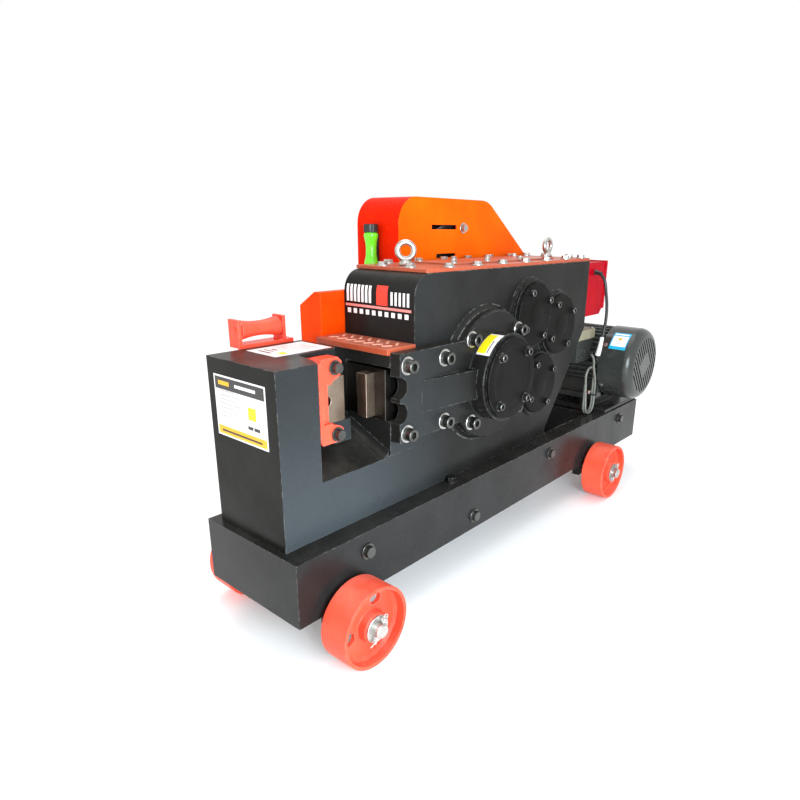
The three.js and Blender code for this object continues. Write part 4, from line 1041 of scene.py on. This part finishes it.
def make_cowl(line):
    low, high = extent("fan_cowl")
    near, far = low.y, high.y
    radius = (high.z - low.z) / 2
    outside = [(0, near), (72, near)]
    outside += [(r, a) for a, r in arc(near + 26, radius - 26, 26, 180, 90, 12)]
    inside = [(r - 2.2 if r > 80 else r, a + 2.2) for r, a in reversed(outside[2:])]
    profile = outside + [(radius, far), (radius - 2.2, far)] + inside
    profile += [(72, near + 2.2), (0, near + 2.2)]
    cowl = spun_across(profile, line, 96)
    slots = []
    pitch = 11.5
    for index in range(-6, 7):
        offset = index * pitch
        reach = math.sqrt(76 ** 2 - offset ** 2)
        spans = [(-reach, reach)] if abs(index) > 2 else [(-reach, -24), (24, reach)]
        for start, end in spans:
            outline = arc(end - 3, offset, 3, -90, 90, 6) + arc(start + 3, offset, 3, 90, 270, 6)
            slots.append(prism(outline, near - 4, near + 9))
    cutter = merged(*slots)
    turn_about(cutter, Matrix.Rotation(math.radians(52), 4, "Y"))
    turn_about(cutter, Matrix.Translation((line.x, 0, line.z)))
    cowl = carve(cowl, cutter)
    piece("fan_cowl_pressed", cowl, MOTOR_GREEN, replaces=("fan_cowl",))
    screws = []
    for angle in (35, 145, 215, 325):
        turn = math.radians(angle)
        direction = (math.cos(turn), 0, math.sin(turn))
        spot = (line.x + radius * direction[0], far - 9, line.z + radius * direction[2])
        screws.append(facing(hex_bolt(4.5, 2.6, 0.8), direction, spot))
    piece("cowl_screws", merged(*screws), ZINC)


def make_terminal_box():
    low, high = extent("terminal_box")
    cut = 318
    lid = from_node("terminal_box")
    lid = carve(lid, block(low.x - 9, high.x + 9, low.y - 9, high.y + 9, low.z - 9, cut))
    box = from_node("terminal_box")
    box = carve(box, block(low.x - 9, high.x + 9, low.y - 9, high.y + 9, cut, high.z + 9))
    piece("terminal_box_base", box, MOTOR_GREEN, width=1.2)
    piece("terminal_box_lid", lid, BEIGE, replaces=("terminal_box",), width=2.0)
    spots = [(x, y, high.z) for x in (low.x + 9, high.x - 9) for y in (76, 156)]
    fixings("terminal_screws", lambda: socket_screw(4.2, 2.4), spots, UP, ZINC)


# ---------- controls ----------
def make_controls():
    rounded("control_box", BOX_RED, 1.2)
    rounded("control_box_door", BOX_RED, 1.4, "door")
    low, high = extent("control_box_door")
    for node, body, look, slot in (("start_button", "start", BUTTON_GREEN, "green_plastic"),
                                   ("stop_button", "stop", BUTTON_RED, "red_plastic")):
        a, b = extent(node)
        middle = (a + b) / 2
        length = b.x - a.x
        dome = [(0, 0), (14, 0), (14, 4), (10.9, 4), (10.9, length - 3), (9.6, length - 1.2),
                (6, length - 0.2), (0, length)]
        piece(node + "_cap", facing(spun(dome, 48), RIGHT, (a.x, middle.y, middle.z)), look, body,
              (node,))
        bezel = [(11.6, 0), (17.5, 0), (17.5, 1.6), (16, 3), (11.6, 3), (11.6, 0)]
        piece(node + "_bezel", facing(spun(bezel, 48), RIGHT, (high.x, middle.y, middle.z)), ZINC,
              "door")
    latch = [(0, 0), (8, 0), (8, 2.5), (6.5, 4), (0, 4)]
    piece("door_latch", facing(spun(latch, 32), RIGHT, (high.x, low.y + 12, 455)), ZINC, "door")
    hinge_x, hinge_y = high.x + 0.3, high.y + 0.4
    for part, (z0, z1) in (("low", (412, 440)), ("high", (470, 498))):
        third = (z1 - z0) / 3
        knuckles = [(0, 0), (2, 0), (2.7, 0.7)]
        for step in (1, 2):
            knuckles += [(2.7, third * step - 0.5), (2.2, third * step), (2.7, third * step + 0.5)]
        knuckles += [(2.7, z1 - z0 - 0.7), (2, z1 - z0), (0, z1 - z0)]
        pin = facing(spun(knuckles, 24), UP, (hinge_x, hinge_y, z0))
        piece("door_hinge_" + part, pin, BOX_RED, "door")


# ---------- bar guide and oiler ----------
def make_bar_guide():
    rounded("roller_bracket", CLAMP_RED, 1.6)
    low, high = extent("guide_roller")
    line = centre("guide_roller")
    length = high.x - low.x
    profile = [(0, 0), (5.4, 0), (6, 0.8), (6, 9.4), (15, 9.5), (16.6, 10.4), (17, 12), (16.6, 16)]
    barrel = 12
    for step in range(barrel + 1):
        part = step / barrel
        profile.append((13 + 3.2 * (2 * part - 1) ** 2, 18 + (length - 36) * part))
    mirrored = [(radius, length - height) for radius, height in reversed(profile[:8])]
    profile += mirrored
    piece("guide_roller_turned", facing(spun(profile, 64), RIGHT, (low.x, line.y, line.z)), CLAMP_RED,
          "roller", ("guide_roller",))
    fixings("bracket_bolts", lambda: hex_bolt(7, 5, 2), [(100, 228.6, 386), (166, 228.6, 386)], FAR,
            ZINC)


def make_oiler():
    """A squeeze flask in a clip on the guard's end: black cap, waisted green body, black spout."""
    low, high = extent("oil_bottle")
    middle = centre("oil_bottle")
    width = 15
    x = high.x - width - 1.5
    base = low.z
    cap = [(0, 86), (14.4, 86), (15.2, 87), (15.2, 101), (14.2, 103), (0, 103)]
    body = [(0, 8), (10, 8), (14, 10), (15.4, 15), (15.2, 24), (13, 32), (11.6, 40), (11.4, 56),
            (12.4, 66), (14.4, 74), (15.4, 79), (15, 83), (12, 86), (0, 86)]
    foot = [(0, 0), (9, 0), (10.5, 2), (10.5, 8), (8, 13), (0, 14)]
    spot = (x, middle.y, base)
    piece("oil_flask", facing(spun(body, 48), UP, spot), FLASK_GREEN,
          replaces=("oil_bottle",))
    piece("oil_flask_cap", facing(knurled(cap, 15.2), UP, spot), BLACK_PLASTIC)
    piece("oil_flask_foot", facing(spun(foot, 32), UP, spot), BLACK_PLASTIC)
    clip = [block(x + 9, high.x, middle.y - 8, middle.y + 8, base + 4, base + 84)]
    cup = [(12.6, 0), (16.4, 0), (16.4, 9), (15.6, 10), (12.6, 10), (12.6, 0)]
    clip.append(facing(spun(cup, 40), UP, (x, middle.y, base + 3)))
    piece("oil_flask_clip", merged(*clip), BLACK_PLASTIC, width=0.4)


def knurled(profile, rim):
    """A turned cap with upright grips round its widest part."""
    cap = spun(profile, 72)
    for vert in cap.verts:
        radius = math.hypot(vert.co.x, vert.co.y)
        if abs(radius - rim) < 0.2:
            turn = math.atan2(vert.co.y, vert.co.x)
            swing = 1 - 0.05 * (math.sin(18 * turn) > 0)
            vert.co.x *= swing
            vert.co.y *= swing
    return cap


# ---------- labels ----------
def label_quad(name, layers, place, body="root"):
    """A thin label: each layer is (look, rectangles), each a little prouder than the last.
    A rectangle is (left, right, low, high) in the label's own units, and place maps (across, up,
    proud) to the machine."""
    for index, (look, rectangles) in enumerate(layers):
        bm = bmesh.new()
        for left, right, low, high in rectangles:
            columns = max(1, int((right - left) / 6))
            rows = max(1, int((high - low) / 6))
            grids = []
            for proud in (0.0, 0.35 + 0.12 * index):
                grids.append([[bm.verts.new(place(left + (right - left) * i / columns,
                                                  low + (high - low) * j / rows, proud))
                               for i in range(columns + 1)] for j in range(rows + 1)])
            for grid in grids:
                for j in range(rows):
                    for i in range(columns):
                        bm.faces.new((grid[j][i], grid[j][i + 1], grid[j + 1][i + 1], grid[j + 1][i]))
            rim = [(0, i) for i in range(columns + 1)]
            rim += [(j, columns) for j in range(1, rows + 1)]
            rim += [(rows, i) for i in range(columns - 1, -1, -1)]
            rim += [(j, 0) for j in range(rows - 1, 0, -1)]
            for (j, i), (l, k) in zip(rim, rim[1:] + rim[:1]):
                bm.faces.new((grids[0][j][i], grids[0][l][k], grids[1][l][k], grids[1][j][i]))
        bmesh.ops.recalc_face_normals(bm, faces=bm.faces)
        piece(f"{name}_{index}", bm, look, body)


def make_column_label():
    """The data plate on the column's end: dark heading, pale field with short grey rules, a yellow
    tab and an amber foot."""
    def place(across, up, proud):
        return (COLUMN_FACE - proud, 204 - across, 280 + up)
    rules = [(14, 14 + width, 76 - 7 * row, 78 - 7 * row)
             for row, width in enumerate((40, 52, 46, 56, 44, 58, 38))]
    layers = [
        (LABEL_WHITE, [(0, 137, 0, 102)]),
        (LABEL_DARK, [(3, 134, 79, 99)]),
        (LABEL_AMBER, [(3, 134, 3, 17), (12, 42, 86, 93)]),
        (LABEL_GREY, rules),
        (LABEL_YELLOW, [(90, 110, 42, 62)]),
        (LABEL_WHITE, [(58, 112, 87, 92)]),
        (LABEL_DARK, [(88, 100, 26, 31), (104, 118, 26, 31), (14, 122, 8, 11)]),
    ]
    label_quad("column_label", layers, place)


def make_top_label():
    def place(across, up, proud):
        return (78 + across, 214 - up, COLUMN_TOP + proud)
    layers = [
        (LABEL_WHITE, [(0, 118, 8, 88)]),
        (LABEL_YELLOW, [(20, 34, 64, 78)]),
        (LABEL_DARK, [(12, 16, 24, 56), (24, 27, 24, 48), (34, 38, 30, 44)]),
        (LABEL_GREY, [(52 + 9 * row, 54 + 9 * row, 22, 74) for row in range(6)]),
    ]
    label_quad("column_top_label", layers, place)


def make_nose_label():
    """Plain bars, a red block, a pink rule and a row of small squares on the rounded front."""
    straight = GEARBOX_TOP - NOSE_RADIUS

    def place(across, up, proud):
        height = 446 + up
        y = 221 - across
        if height <= straight:
            return (GEARBOX_FRONT - proud, y, height)
        turn = (height - straight) / NOSE_RADIUS
        reach = NOSE_RADIUS + proud
        return (GEARBOX_FRONT + NOSE_RADIUS - reach * math.cos(turn), y, straight + reach * math.sin(turn))
    white = [(6 + 10 * step, 12 + 10 * step, 26, 58) for step in range(7)]
    white += [(122 + 10 * step, 127 + 10 * step, 26, 50) for step in range(5)]
    small = [(8 + 16.5 * step, 17 + 16.5 * step, 4, 13) for step in range(10)]
    layers = [
        (LABEL_WHITE, white + small),
        (LABEL_RED, [(86, 114, 24, 60)]),
        (LABEL_PINK, [(3, 172, 17, 21.5)]),
    ]
    label_quad("nose_label", layers, place)


def round_label(name, line, radius, turn0, turn1, y0, y1, layers):
    """A label wrapped on a cylinder; across runs from y0 to y1 and up from one angle to another."""
    def place(across, up, proud):
        turn = math.radians(turn0 + (turn1 - turn0) * up / 100)
        reach = radius + proud
        return (line.x + reach * math.cos(turn), y0 + (y1 - y0) * across / 100,
                line.z + reach * math.sin(turn))
    label_quad(name, layers, place)


def make_round_labels():
    round_label("boss_label", CRANK, 90, 143, 104, 13, -20, [
        (LABEL_WHITE, [(0, 100, 0, 100)]),
        (LABEL_YELLOW, [(8, 66, 6, 94)]),
        (LABEL_DARK, [(74, 80, 10, 60)]),
    ])
    round_label("cowl_label", MOTOR, 100, 150.5, 118, 21, -26, [
        (LABEL_BLUE, [(0, 100, 0, 100)]),
        (LABEL_WHITE, [(6, 94, 16, 76), (6, 90, 84, 92)]),
        (LABEL_GREY, [(26, 72, 30, 33), (26, 72, 40, 43)]),
        (LABEL_AMBER, [(40, 60, 50, 64)]),
    ])


# ---------- inner pieces that keep their CAD shape ----------
INNER = [
    (STEEL, ("crankshaft", "wrist_pin", "second_bearing_near", "second_bearing_far",
             "third_bearing_near", "third_bearing_far", "input_bearing_near", "input_bearing_far",
             "second_shaft", "third_shaft", "input_shaft", "motor_rotor")),
    (CAST_IRON, ("connecting_rod", "crank_gear", "second_gear", "third_gear", "flywheel_pulley",
                 "motor_pulley")),
    (BRONZE, ("crank_bush_near", "crank_bush_far")),
    (BLACK_PLASTIC, ("motor_fan",)),
    (BELT_RUBBER, ("v_belt_1", "v_belt_2")),
]


def dress_inner():
    for look, nodes in INNER:
        for node in nodes:
            dress(node, look)


# ---------- studio ----------
def make_studio():
    look = Look("studio_floor", roughness=0.6, Emission_Color=(1, 1, 1, 1), Emission_Strength=0.07)
    colour = look.blend(look.noise(3.0, 2.0), (0.93, 0.93, 0.93), (0.95, 0.95, 0.95))
    bpy.ops.mesh.primitive_plane_add(size=40, location=(0, 0, 0))
    floor = bpy.context.active_object
    floor.name = "studio_floor"
    floor.data.materials.append(look.done(colour))
    world = bpy.data.worlds.new("studio")
    bpy.context.scene.world = world
    world.use_nodes = True
    sky = world.node_tree.nodes["Background"]
    sky.inputs["Color"].default_value = (1, 1, 1, 1)
    sky.inputs["Strength"].default_value = 1.0
    lamps = [("key", (-0.95, -1.4, 0.60), 0.8, 36, (0.80, 0.92, 1.0)),
             ("left", (-2.2, 0.3, 1.0), 1.4, 5, (1.0, 0.93, 0.78)),
             ("top", (0.2, 0.3, 3.4), 2.6, 45, (1.0, 1.0, 1.0))]
    for name, spot, size, power, colour in lamps:
        data = bpy.data.lights.new(name, "AREA")
        data.size = size
        data.energy = power
        data.color = colour
        lamp = bpy.data.objects.new(name, data)
        bpy.context.scene.collection.objects.link(lamp)
        lamp.location = spot
        aim = Vector((0, 0, 0.35)) - Vector(spot)
        lamp.rotation_euler = aim.to_track_quat("-Z", "Y").to_euler()
    settings = bpy.context.scene.view_settings
    settings.view_transform = "Standard"
    settings.look = "None"


make_base()
make_wheels()
make_axles()
make_casting()
make_side_plate()
make_covers()
make_top()
make_blades()
make_guards()
make_motor()
make_controls()
make_bar_guide()
make_oiler()
make_column_label()
make_top_label()
make_nose_label()
make_round_labels()
dress_inner()
make_studio()
